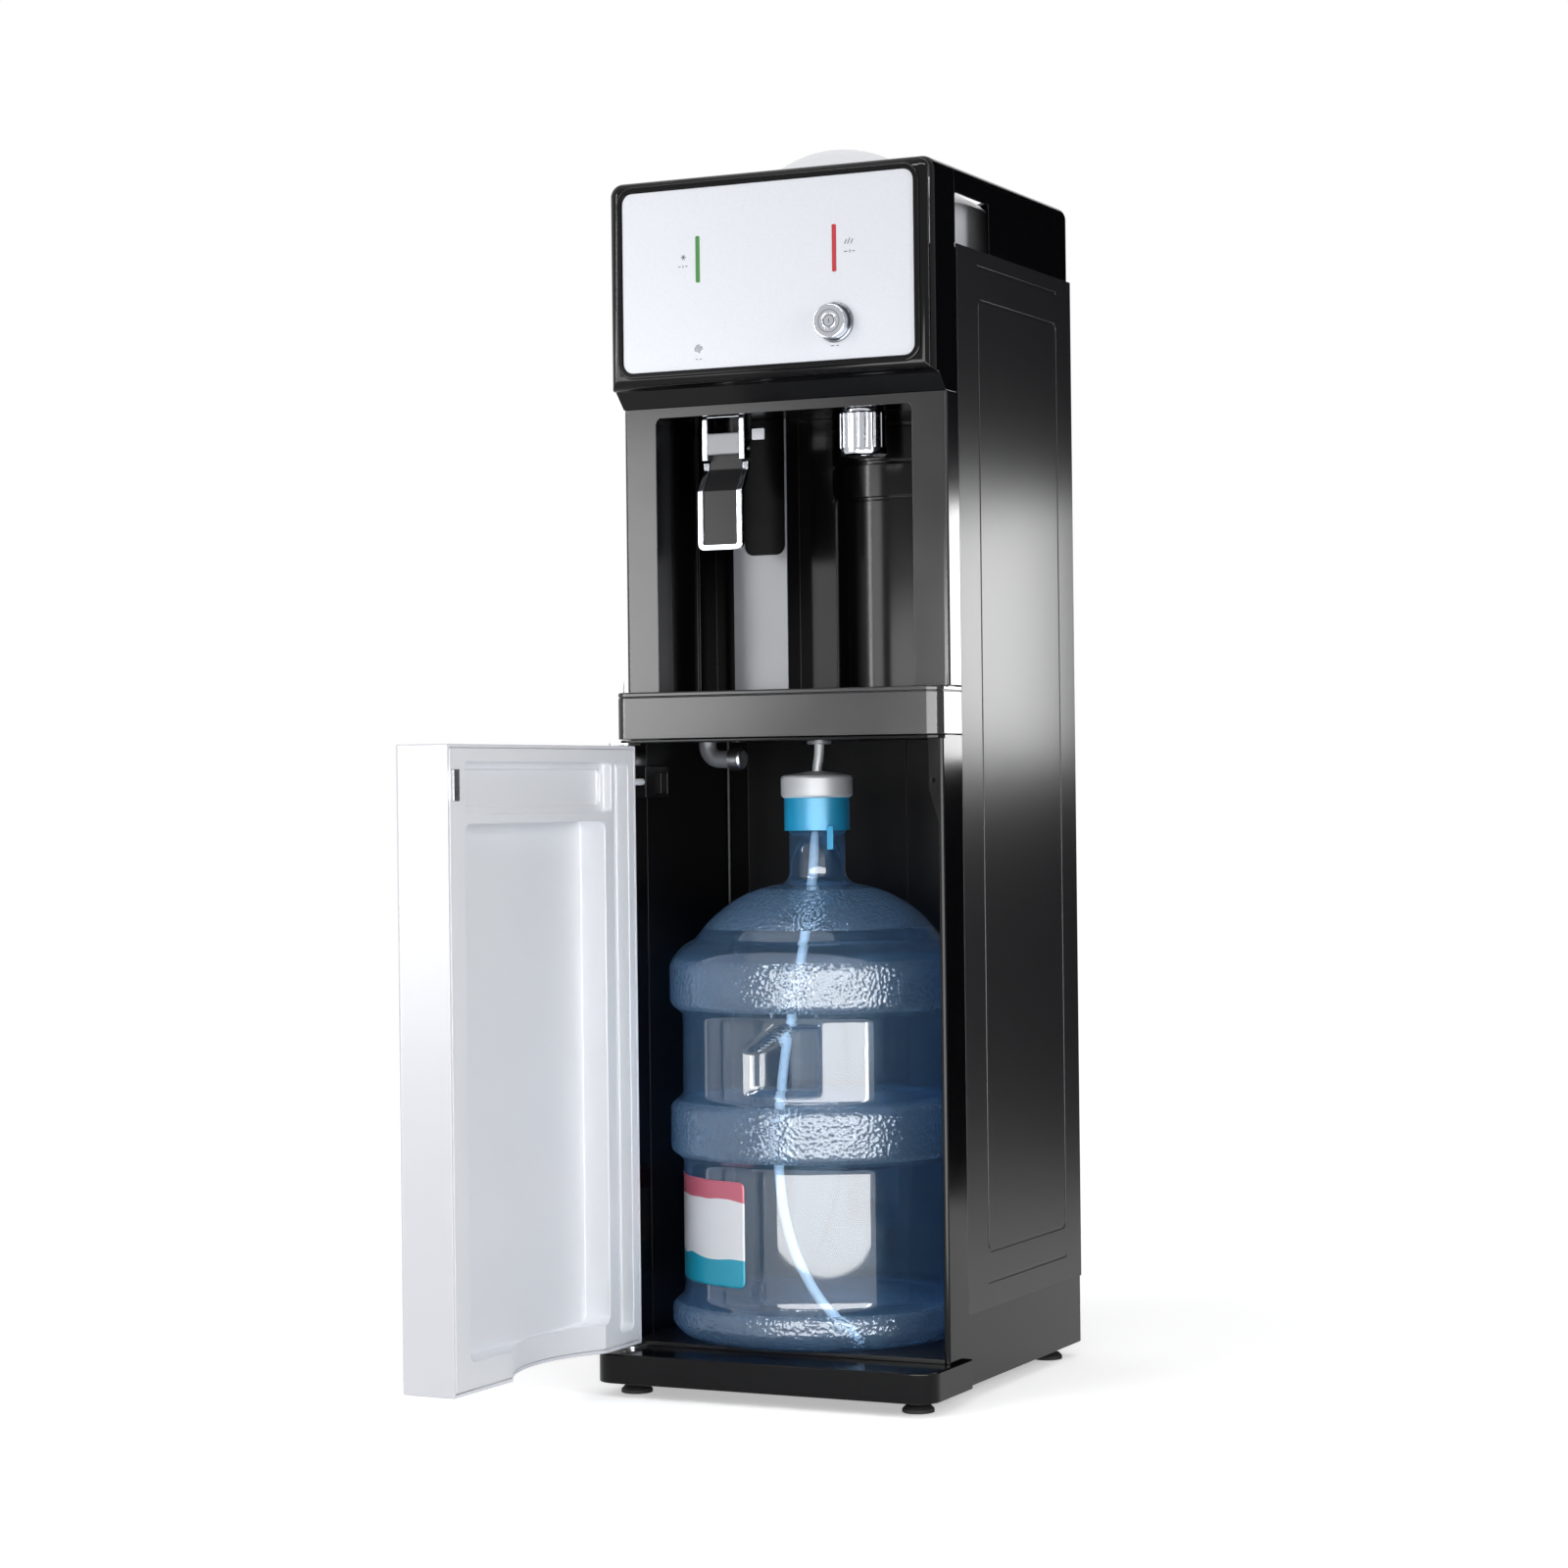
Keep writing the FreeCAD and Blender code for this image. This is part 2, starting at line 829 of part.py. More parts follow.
def rear_panel():
    side = half_width - d.steel_sheet
    y0 = d.rear_panel_y
    y1 = y0 + d.steel_sheet
    top = d.top_deck_z - d.wall
    plate = box(-side, side, y0, y1, d.side_bottom, top)
    wings = []
    for x0, x1 in ((-side, -side + d.steel_sheet), (side - d.steel_sheet, side)):
        wings.append(box(x0, x1, y1, d.rear_y - d.steel_sheet, d.side_bottom, top))
    holes = []
    for n in range(SIZES["louvre_count"]):
        z = d.louvre_z + d.louvre_pitch * n
        holes.append(box(-d.louvre_width + 20, 20, y0 - 1, y1 + 1, z + 24,
                         z + 24 + d.louvre_height))
    holes.append(inlet_box(d.inlet_width - 4, d.inlet_height - 4, y0 - 1, y1 + 1))
    for n in range(2):
        holes.append(rod(d.drain_plug_radius - 3, "Y",
                         d.drain_plug_x + d.drain_plug_pitch * n,
                         y0 - 1, d.drain_plug_z, d.steel_sheet + 2))
    part("rear_panel", cut(fuse(plate, *wings), *holes))


def inlet_box(width, height, y0, y1):
    return box(d.inlet_x - width / 2, d.inlet_x + width / 2, y0, y1,
               d.inlet_z - height / 2, d.inlet_z + height / 2)


def mains_inlet():
    y0 = d.rear_panel_y + d.steel_sheet
    flange = inlet_box(d.inlet_width, d.inlet_height, y0, y0 + 2)
    body = inlet_box(d.inlet_width - 4.4, d.inlet_height - 4.4, y0 - d.inlet_depth, y0)
    mouth = inlet_box(d.inlet_width - 9, d.inlet_height - 9, y0 - d.inlet_depth + 4, y0 + 3)
    pins = []
    for step, rise in ((-7, 0), (7, 0), (0, 3)):
        pins.append(box(d.inlet_x + step - 1, d.inlet_x + step + 1,
                        y0 - d.inlet_depth + 4, y0 - 3,
                        d.inlet_z + rise - 2, d.inlet_z + rise + 2))
    part("mains_inlet", fuse(cut(fuse(flange, body), mouth), *pins))


def drain_plugs():
    y0 = d.rear_panel_y + d.steel_sheet
    plugs = []
    for n in range(2):
        x = d.drain_plug_x + d.drain_plug_pitch * n
        collar = rod(d.drain_plug_radius + 2, "Y", x, y0, d.drain_plug_z, 3)
        cap = rod(d.drain_plug_radius, "Y", x, y0 + 3, d.drain_plug_z,
                  d.drain_plug_length - 3)
        plugs.append(fuse(collar, cap))
    part("drain_plugs", fuse(*plugs))


def condenser():
    """One steel tube folded into level passes, with upright wires on both faces."""
    y = d.condenser_y.value
    side = d.condenser_half_width.value
    pitch = d.condenser_pitch.value
    bend = pitch / 2
    edges = []
    passes = SIZES["condenser_passes"]
    for n in range(passes):
        z = d.condenser_bottom.value + pitch * n
        way = 1 if n % 2 == 0 else -1
        reach = side - bend
        start = FreeCAD.Vector(-way * reach, y, z)
        end = FreeCAD.Vector(way * reach, y, z)
        edges.append(Part.LineSegment(start, end).toShape())
        if n < passes - 1:
            crown = FreeCAD.Vector(way * side, y, z + bend)
            turn_end = FreeCAD.Vector(way * reach, y, z + pitch)
            edges.append(Part.Arc(end, crown, turn_end).toShape())
    solids = [swept(edges, d.condenser_tube_radius.value)]
    wire = d.wire_size.value
    gap = d.condenser_tube_radius.value + d.wire_gap.value
    low = d.condenser_bottom.value - bend
    high = d.condenser_bottom.value + pitch * (passes - 1) + bend
    spread = 2 * (side - bend)
    count = SIZES["wire_count"]
    for n in range(count):
        x = -spread / 2 + spread * n / (count - 1) - wire / 2
        for face in (y - gap - wire, y + gap):
            solids.append(Part.makeBox(wire, wire, high - low, FreeCAD.Vector(x, face, low)))
    strap = d.strap_height.value
    inside = half_width.value - 2 * d.steel_sheet.value
    for z in (low, high - strap):
        place = FreeCAD.Vector(-inside, y + gap + wire, z)
        solids.append(Part.makeBox(2 * inside, d.steel_sheet.value, strap, place))
    solid_piece("condenser", Part.makeCompound(solids))


def swept(edges, radius):
    """A round bar along joined lines and arcs."""
    path = Part.Wire(edges)
    start = path.Edges[0]
    way = start.tangentAt(start.FirstParameter)
    circle = Part.makeCircle(radius, start.valueAt(start.FirstParameter), way)
    pipe = path.makePipeShell([Part.Wire(circle)], True, True)
    expected = math.pi * radius * radius * path.Length
    if abs(pipe.Volume - expected) > 0.02 * expected:
        raise RuntimeError(f"tube volume {pipe.Volume:.0f}, expected {expected:.0f}")
    return pipe


# ---------- bottle bay ----------

def front_frame():
    jambs = []
    for sign in (-1, 1):
        x0, x1 = ((d.bay_half_width, half_width) if sign > 0
                  else (-half_width, -d.bay_half_width))
        jamb = box(x0, x1, d.frame_front_y, d.side_front_y, d.lip_top,
                   d.bay_ceiling - d.strip_thickness)
        jambs.append(rounded(jamb, 2.5, lambda edge: parallel(edge, Z)
                             and near(centre(edge).y, d.frame_front_y)
                             and near(abs(centre(edge).x), half_width)))
    strip = box(-half_width, half_width, d.strip_front_y, d.side_front_y,
                d.bay_ceiling - d.strip_thickness, d.bay_ceiling)
    strip = rounded(strip, d.tray_corner, lambda edge: parallel(edge, Z)
                    and near(centre(edge).y, d.strip_front_y))
    tab = new_body()
    sketch = new_sketch(tab, "XZ_Plane", -d.frame_front_y - d.tab_thickness)
    high = d.bay_ceiling - d.strip_thickness
    low = d.bay_ceiling - d.tab_height
    outline(sketch, [(d.bay_half_width - d.tab_width, low), (d.bay_half_width, low - d.tab_slope),
                     (d.bay_half_width, high), (d.bay_half_width - d.tab_width, high)])
    feature(tab, "Pad", sketch, d.tab_thickness)
    hole = rod(d.tab_hole_radius, "Y", d.bay_half_width - d.tab_width / 2,
               d.frame_front_y - 1, low + 8, d.tab_thickness + 2)
    sides = rounded_frame_join(jambs, strip, tab)
    part("front_frame", cut(sides, hole))


def rounded_frame_join(jambs, strip, tab):
    return fuse(*jambs, strip, tab)


def bottle_bay_liner():
    wall = d.bay_wall
    outer = box(-d.bay_half_width - wall, d.bay_half_width + wall, d.side_front_y,
                d.bay_back_y + wall, d.lip_top, d.bay_ceiling + wall)
    inner = box(-d.bay_half_width, d.bay_half_width, d.side_front_y - 1, d.bay_back_y,
                d.lip_top - 1, d.bay_ceiling)
    panel = box(d.bay_panel_left_x, d.bay_panel_right_x, d.bay_back_y - d.bay_panel_proud,
                d.bay_back_y + wall, d.platform_top + 1, d.bay_ceiling)
    rib = rod(d.bay_rib_radius, "Z", -d.bay_half_width, d.bay_rib_y, d.platform_top + 1,
              d.bay_ceiling - d.platform_top - 1)
    hole = rod(d.tube_radius + 1, "Z", d.gland_x, d.gland_y, d.bay_ceiling - 1, wall + 2)
    drain = rod(d.drain_radius + d.seat_gap, "Z", d.drain_x, d.drain_y, d.bay_ceiling - 1,
                wall + 2)
    shell = cut(outer, inner)
    room = box(-d.bay_half_width - wall, d.bay_half_width, d.side_front_y, d.bay_back_y,
               d.lip_top, d.bay_ceiling + wall)
    part("bottle_bay_liner", cut(fuse(shell, panel, common(rib, room)), hole, drain))


def machine_deck():
    z0 = d.bay_ceiling + d.bay_wall
    side = half_width - d.steel_sheet
    plate = box(-side, side, d.side_front_y + 1, d.rear_panel_y, z0, z0 + d.deck_sheet)
    hole = rod(d.tube_radius + 1, "Z", d.gland_x, d.gland_y, z0 - 1, d.deck_sheet + 2)
    drain = rod(d.drain_radius + d.seat_gap, "Z", d.drain_x, d.drain_y, z0 - 1,
                d.deck_sheet + 2)
    part("machine_deck", cut(plate, hole, drain))


# ---------- hinges, switch and drain ----------

def hinge_bracket(plate_low, pin_low):
    """A steel ear with the pin the door turns on."""
    x0, x1 = d.hinge_x - 6.5, d.hinge_x + 14
    ear = box(x0, x1, d.hinge_y - 7, d.frame_front_y, plate_low, plate_low + d.hinge_plate)
    ear = rounded(ear, 5, lambda edge: parallel(edge, Z) and centre(edge).y < -150)
    pin = rod(d.hinge_pin_radius, "Z", d.hinge_x, d.hinge_y, pin_low, d.hinge_pin_length)
    return fuse(ear, pin)


def hinge_brackets():
    upper = d.bay_ceiling - d.strip_thickness - d.hinge_plate
    part("hinge_brackets", fuse(hinge_bracket(upper, upper - d.hinge_pin_length),
                                hinge_bracket(d.lip_top, d.lip_top + d.hinge_plate)))


def hinge_pin_holes():
    radius = d.hinge_pin_radius + d.hinge_pin_gap
    depth = d.hinge_pin_length + 2
    return [rod(radius, "Z", d.hinge_x, d.hinge_y, d.door_top - depth, depth + 1),
            rod(radius, "Z", d.hinge_x, d.hinge_y, d.door_bottom - 1, depth + 1)]


def door_switch():
    x0 = -d.bay_half_width
    x1 = x0 + d.switch_depth
    middle_x = x0 + d.switch_depth / 2
    middle_z = (d.switch_bottom + d.switch_top) / 2
    case = box(x0, x1, d.switch_front_y, d.switch_rear_y, d.switch_bottom, d.switch_top)
    window = box(x0 + 2, x1 + 1, d.switch_front_y + 18, d.switch_rear_y - 3,
                 d.switch_bottom + 3, d.switch_top - 6)
    bore = rod(d.plunger_radius + d.plunger_gap, "Y", middle_x, d.switch_front_y - 1, middle_z,
               15 + 1)
    case = rounded(case, 1, lambda edge: parallel(edge, Y) and near(centre(edge).x, x1))
    part("door_switch_case", cut(case, window, bore))
    stem = rod(d.plunger_radius, "Y", middle_x, d.switch_front_y - d.plunger_reach, middle_z,
               d.plunger_reach + 9)
    part("door_switch_plunger", rounded(stem, 1, lambda edge: near(
        edge.BoundBox.YMax, d.switch_front_y - d.plunger_reach)))


def drain_elbow():
    """Grey drain pipe: down from the ceiling, round and along to its coupling."""
    x, y, z = d.drain_x.value, d.drain_y.value, d.drain_z.value
    top = d.bay_ceiling.value + d.bay_wall.value + d.deck_sheet.value
    bend = d.drain_bend.value
    reach = d.drain_reach.value
    corner = math.sqrt(0.5)
    down_end = FreeCAD.Vector(x, y, z + bend)
    middle = FreeCAD.Vector(x + bend - bend * corner, y, z + bend - bend * corner)
    level = FreeCAD.Vector(x + bend, y, z)
    end = FreeCAD.Vector(x + reach, y, z)
    edges = [Part.LineSegment(FreeCAD.Vector(x, y, top), down_end).toShape(),
             Part.Arc(down_end, middle, level).toShape(),
             Part.LineSegment(level, end).toShape()]
    solid_piece("drain_elbow", swept(edges, d.drain_radius.value))
    start = d.drain_x + d.drain_reach
    sleeve = rod(d.coupling_radius, "X", start, d.drain_y, d.drain_z, d.coupling_length)
    part("drain_coupling", rounded(sleeve, 3, lambda edge: near(
        edge.BoundBox.XMin, start + d.coupling_length)))


# ---------- niche ----------

def niche_frame():
    body = box(-half_width, half_width, d.niche_face_y, d.side_front_y, d.bay_ceiling,
               d.niche_frame_top)
    body = rounded(body, 4, lambda edge: parallel(edge, Z)
                   and near(centre(edge).y, d.niche_face_y))
    opening = block_with_corners(-d.niche_half_width, d.niche_half_width, d.niche_face_y - 1,
                                 d.side_front_y + 1, d.bay_ceiling - 20,
                                 d.niche_opening_top, d.niche_corner, Y)
    tools = [opening]
    relief_top = d.tray_top + d.basin_side_gap
    inside = d.tray_half_width - d.wall - d.basin_side_gap
    for sign in (-1, 1):
        wing = (inside, half_width + 1) if sign > 0 else (-half_width - 1, -inside)
        tools.append(box(*wing, d.niche_face_y - 1, d.side_front_y + 1, d.bay_ceiling - 1,
                         relief_top))
        hollow_x = (d.niche_half_width + d.wall, inside - d.wall)
        low, high = hollow_x if sign > 0 else (-hollow_x[1], -hollow_x[0])
        tools.append(box(low, high, d.niche_face_y + d.wall, d.side_front_y + 1,
                         d.bay_ceiling + d.wall, d.niche_opening_top))
    tools.append(box(-d.niche_half_width, d.niche_half_width, d.niche_face_y + d.wall,
                     d.side_front_y + 1, d.niche_opening_top - 1, d.niche_ceiling))
    tools.append(hot_tube_way())
    part("niche_frame", cut(body, *tools))


def hot_tube_way():
    """The hole that the hot water tube comes down through."""
    return rod(d.tube_radius + 1, "Z", d.tap_x, d.outlet_y, d.niche_ceiling - 1,
               d.niche_frame_top - d.niche_ceiling + d.wall + 2)


def niche_liner():
    wall = d.niche_wall
    floor = d.bay_ceiling + d.bay_wall + d.deck_sheet
    side = d.niche_half_width
    back = d.niche_back_y
    outer = box(-side - wall, side + wall, d.side_front_y, back + wall, floor,
                d.niche_ceiling + wall)
    cup_room = box(-side, side, d.side_front_y - 1, back, d.niche_ledge_top, d.niche_ceiling)
    tray_room = box(-side, side, d.side_front_y - 1, d.niche_ledge_y, floor + wall,
                    d.niche_ledge_top + 1)
    under = box(-side, side, d.niche_ledge_y + wall, back, floor - 1,
                d.niche_ledge_top - wall)
    shell = cut(outer, cup_room, tray_room, under)
    pilaster = box(d.pilaster_left_x, d.pilaster_right_x, back - d.pilaster_depth,
                   back + wall, d.niche_ledge_top - wall, d.niche_ceiling)
    rib = box(-side - wall, -side + d.side_rib_proud, d.side_rib_front_y,
              d.side_rib_front_y + d.side_rib_width, d.niche_ledge_top - wall,
              d.niche_ceiling)
    column = ringed_column(side + wall, back + wall)
    gap = d.tube_radius + 2
    tube_hole = rod(gap, "Y", d.gland_x, back - 1, floor + d.feed_rise, wall + 2)
    tap_ways = []
    for x, y in ((-d.tap_x, d.spout_y), (d.tap_x, d.outlet_y)):
        tap_ways.append(rod(d.tube_radius + 1, "Z", x, y, d.niche_ceiling - 1, wall + 2))
    part("niche_liner", cut(fuse(shell, pilaster, rib, column), tube_hole, *tap_ways))


def ringed_column(right, back):
    """The round column behind the hot outlet: three grooves, and thinner below them."""
    low = d.niche_ledge_top - d.niche_wall
    high = d.niche_ceiling
    rings = rod(d.column_radius, "Z", d.column_x, d.column_y, d.lower_groove_z,
                high - d.lower_groove_z)
    shaft = rod(d.column_radius - d.column_step, "Z", d.column_x, d.column_y, low,
                d.lower_groove_z - low)
    grooves = []
    for n in range(3):
        z = d.lower_groove_z + d.groove_pitch * n
        whole = rod(d.column_radius + 1, "Z", d.column_x, d.column_y, z, d.groove_height)
        core = rod(d.column_radius - d.groove_depth, "Z", d.column_x, d.column_y, z,
                   d.groove_height)
        grooves.append(cut(whole, core))
    room = box(d.column_x - 100, right, d.niche_ledge_y, back, low, high)
    return common(cut(fuse(rings, shaft), *grooves), room)


def splash_plates():
    """The silver plate on the pilaster, and the black plate let into its upper part."""
    face = d.niche_back_y - d.pilaster_depth
    front = face - d.splash_sheet
    top = d.niche_ceiling - d.seat_gap
    low = d.niche_ledge_top + d.seat_gap
    plate = box(d.pilaster_left_x, d.pilaster_right_x, front, face, low, top)
    gap = d.seat_gap

    def tongue(extra, y0, y1, height):
        left = d.inset_left_x - extra
        right = d.inset_right_x + extra
        block = box(left, right, y0, y1, d.inset_bottom - extra, height)
        return rounded(block, d.inset_corner, lambda edge: parallel(edge, Y)
                       and near(centre(edge).z, d.inset_bottom - extra))

    part("splash_panel", cut(plate, tongue(gap, front - 1, face + 1, top + 1)))
    part("splash_inset", tongue(0, front, face, top))
    x0 = -d.tap_x - d.lamp_width / 2 + 1
    lamp = box(x0, x0 + d.lamp_width, front - 2, front,
               d.lamp_z - d.lamp_height / 2, d.lamp_z + d.lamp_height / 2)
    part("niche_lamp", rounded(lamp, 1, lambda edge: parallel(edge, Y)))


# ---------- head ----------

def head_bezel():
    body = new_body()
    sketch = new_sketch(body, "YZ_Plane", -half_width)
    profile = [(d.head_rear_y, d.niche_frame_top), (d.head_rear_y, d.cabinet_height),
               (d.head_face_y, d.cabinet_height), (d.head_face_y, d.head_bottom),
               (d.head_chin_y, d.head_bottom), (d.niche_face_y, d.niche_frame_top)]
    outline(sketch, profile)
    feature(body, "Pad", sketch, d.cabinet_width)
    soften(body, d.head_round, lambda edge: near(edge.BoundBox.YMax, d.head_face_y)
           or (parallel(edge, Y) and near(edge.BoundBox.ZMin, d.cabinet_height)))
    inner_face = d.head_face_y + d.wall + d.panel_recess
    room = box(-half_width + d.wall, half_width - d.wall, inner_face, d.head_rear_y + 1,
               d.head_bottom + d.wall, d.cabinet_height - d.wall)
    room = rounded(room, d.head_round - d.wall, lambda edge: parallel(edge, Y)
                   and near(centre(edge).z, d.cabinet_height - d.wall))
    lower_room = box(-half_width + d.wall, half_width - d.wall, d.niche_face_y + 8,
                     d.head_rear_y + 1, d.niche_frame_top + d.wall, d.head_bottom + d.wall + 1)
    recess = block_with_corners(-d.panel_half_width, d.panel_half_width, d.head_face_y - 1,
                                d.head_face_y + d.panel_recess, d.panel_bottom, d.panel_top,
                                d.panel_corner, Y)
    button_way = rod(d.button_radius + d.seat_gap, "Y", d.control_x, d.head_face_y - 1,
                     d.button_z, d.wall + 4)
    lid_way = rod(d.lid_radius + d.lid_clearance, "Z", 0, d.lid_y,
                  d.cabinet_height - d.wall - 1, d.wall + 2)
    standoffs = []
    for x in (-100, 100):
        for z in (d.panel_bottom + 15, d.panel_top - 15):
            standoffs.append(rod(4, "Y", x, inner_face - 0.5, z, d.board_standoff + 0.5))
    shell = cut(body, room, lower_room, recess, button_way, lid_way, hot_tube_way())
    part("head_bezel", fuse(shell, *standoffs))


def panel_trim():
    body = new_body()
    face = -d.head_face_y
    edge_width = d.trim_width
    sketch = new_sketch(body, "XZ_Plane", face)
    rounded_rectangle(sketch, -d.panel_half_width - edge_width,
                      d.panel_half_width + edge_width, d.panel_bottom - edge_width,
                      d.panel_top + edge_width, d.panel_corner + edge_width)
    feature(body, "Pad", sketch, d.trim_proud)
    soften(body, d.trim_proud * 0.8, lambda edge: near(
        edge.BoundBox.YMax, d.head_face_y - d.trim_proud))
    sketch = new_sketch(body, "XZ_Plane", face + d.trim_proud)
    gap = d.seat_gap
    rounded_rectangle(sketch, -d.panel_half_width - gap, d.panel_half_width + gap,
                      d.panel_bottom - gap, d.panel_top + gap, d.panel_corner + gap)
    feature(body, "Pocket", sketch, d.trim_proud + 1)
    part("panel_trim", body)


def control_panel():
    body = new_body()
    back = -d.head_face_y - d.panel_recess
    gap = d.seat_gap
    sketch = new_sketch(body, "XZ_Plane", back)
    rounded_rectangle(sketch, -d.panel_half_width + gap, d.panel_half_width - gap,
                      d.panel_bottom + gap, d.panel_top - gap, d.panel_corner - gap)
    feature(body, "Pad", sketch, d.panel_sheet)
    for x in (-d.control_x, d.control_x):
        sketch = new_sketch(body, "XZ_Plane", back + d.panel_sheet)
        wide = d.bar_width / 2
        high = d.bar_height / 2
        rounded_rectangle(sketch, x - wide, x + wide, d.bar_z - high, d.bar_z + high,
                          d.bar_width * 0.3)
        feature(body, "Pocket", sketch, d.panel_sheet)
    sketch = new_sketch(body, "XZ_Plane", back + d.panel_sheet)
    circle_at(sketch, d.control_x, d.button_z, ring_radius())
    circle_at(sketch, -d.control_x, d.power_ring_z, d.power_ring_radius)
    feature(body, "Pocket", sketch, d.panel_sheet)
    part("control_panel", body)


def ring_radius():
    return d.button_radius + d.seat_gap + d.bezel_ring_width


def indicator(label, x):
    body = new_body()
    back = -d.head_face_y - d.panel_recess
    wide = d.bar_width / 2
    high = d.bar_height / 2
    sketch = new_sketch(body, "XZ_Plane", back)
    rounded_rectangle(sketch, x - wide, x + wide, d.bar_z - high, d.bar_z + high,
                      d.bar_width * 0.3)
    feature(body, "Pad", sketch, d.panel_sheet + d.bar_proud)
    part(label, body)


def head_controls():
    indicator("cold_indicator", -d.control_x)
    indicator("hot_indicator", d.control_x)
    back = d.head_face_y + d.panel_recess
    front = back - d.panel_sheet
    part("power_indicator", rod(d.power_ring_radius, "Y", -d.control_x, front - d.bar_proud,
                                d.power_ring_z, d.panel_sheet + d.bar_proud))
    ring_front = front - 2.4
    outer = rod(ring_radius(), "Y", d.control_x, ring_front, d.button_z, back - ring_front)
    inner = rod(d.button_radius + d.seat_gap, "Y", d.control_x, ring_front - 1, d.button_z,
                back - ring_front + 2)
    ring = cut(outer, inner)
    part("button_bezel", rounded(ring, 0.8, lambda edge: near(edge.BoundBox.YMax, ring_front)
                                 and edge.BoundBox.XLength > 2 * d.button_radius.value + 2))
    cap = rod(d.button_radius, "Y", d.control_x, front - d.button_proud, d.button_z,
              d.button_proud + d.panel_sheet + d.button_skirt)
    cap = rounded(cap, 1.2, lambda edge: near(edge.BoundBox.YMax, front - d.button_proud))
    groove = cut(rod(7, "Y", d.control_x, front - d.button_proud - 1, d.button_z, 1.5),
                 rod(6, "Y", d.control_x, front - d.button_proud - 2, d.button_z, 4))
    part("hot_safety_button", cut(cap, groove))


def control_board():
    face = d.head_face_y + d.wall + d.panel_recess + d.board_standoff
    back = face + d.board_thickness
    plate = box(-110, 110, face, back, d.panel_bottom + 6, d.panel_top - 6)
    way = rod(d.button_radius + 2, "Y", d.control_x, face - 1, d.button_z,
              d.board_thickness + 2)
    pieces = []
    for x, z, width, height, depth in ((-80, 940, 30, 24, 14), (-30, 960, 22, 34, 18),
                                       (0, 1020, 40, 14, 9), (70, 1010, 26, 20, 12)):
        pieces.append(box(lift(x), lift(x + width), back, back + depth, lift(z), lift(z + height)))
    part("control_board", fuse(cut(plate, way), *pieces))


# ---------- top ----------

def top_hood():
    top = d.cabinet_height
    body = box(-half_width, half_width, d.head_rear_y, d.rear_y, d.side_top, top)
    rear = d.rear_y

    def shoulder(edge):
        high = near(centre(edge).z, top) and not near(centre(edge).y, d.head_rear_y)
        return high or (parallel(edge, Z) and near(centre(edge).y, rear))

    body = rounded(body, d.head_round, shoulder)
    wall = d.wall
    room = box(-half_width + wall, half_width - wall, d.head_rear_y - 1, rear - wall,
               d.side_top - 1, top - wall)

    def inner_shoulder(edge):
        high = near(centre(edge).z, top - wall) and not near(centre(edge).y,
                                                             d.head_rear_y - 1)
        return high or (parallel(edge, Z) and near(centre(edge).y, rear - wall))

    room = rounded(room, d.head_round - wall, inner_shoulder)
    lid_way = rod(d.lid_radius + d.lid_clearance, "Z", 0, d.lid_y, top - wall - 1, wall + 2)
    hands = block_with_corners(-half_width - 1, half_width + 1, d.hand_hole_front_y,
                               d.hand_hole_rear_y, d.side_top - 20, d.hand_hole_top,
                               d.hand_hole_corner, X)
    part("top_hood", cut(body, room, lid_way, hands))


def top_deck():
    z1 = d.top_deck_z
    z0 = z1 - d.wall
    side = half_width - d.steel_sheet
    rear = box(-side, side, d.side_front_y, d.rear_y - d.steel_sheet, z0, z1)
    narrow = half_width - d.wall
    front = box(-narrow, narrow, d.head_face_y + d.wall + d.panel_recess
                + d.board_standoff + d.board_thickness + 20,
                d.side_front_y, z0, z1)
    inner = d.lid_radius - d.lid_wall - d.seat_gap
    ring = cut(rod(inner, "Z", 0, d.lid_y, z1 - 1, d.lid_ring_height + 1),
               rod(inner - d.wall, "Z", 0, d.lid_y, z1 - 2, d.lid_ring_height + 3))
    part("top_deck", fuse(rear, front, ring))


def crown_radius(rise, reach):
    """The radius of a crown that is level in its middle and falls by rise over reach."""
    return (rise * rise + reach * reach) / (2 * rise)


def top_lid():
    """White dome: upright skirt, sloping shoulder and a rounded crown."""
    low = d.top_deck_z + d.seat_gap
    skirt = low + d.lid_skirt
    wall = d.lid_wall
    radius = d.lid_radius
    reach = d.lid_cone_radius
    inner_reach = reach - wall / 3
    rise = d.lid_top - d.lid_cone_top
    step = d.lid_shoulder
    profile = [(radius - wall, low), (radius, low), (radius, skirt),
               (radius - step, skirt + step),
               (reach, d.lid_cone_top, crown_radius(rise, reach)), (0, d.lid_top),
               (0, d.lid_top - wall, -crown_radius(rise, inner_reach)),
               (inner_reach, d.lid_cone_top - wall),
               (radius - step - wall * 0.6, skirt + step - wall), (radius - wall, skirt)]
    turned("top_lid", profile, 0, d.lid_y, 0)


# ---------- taps ----------

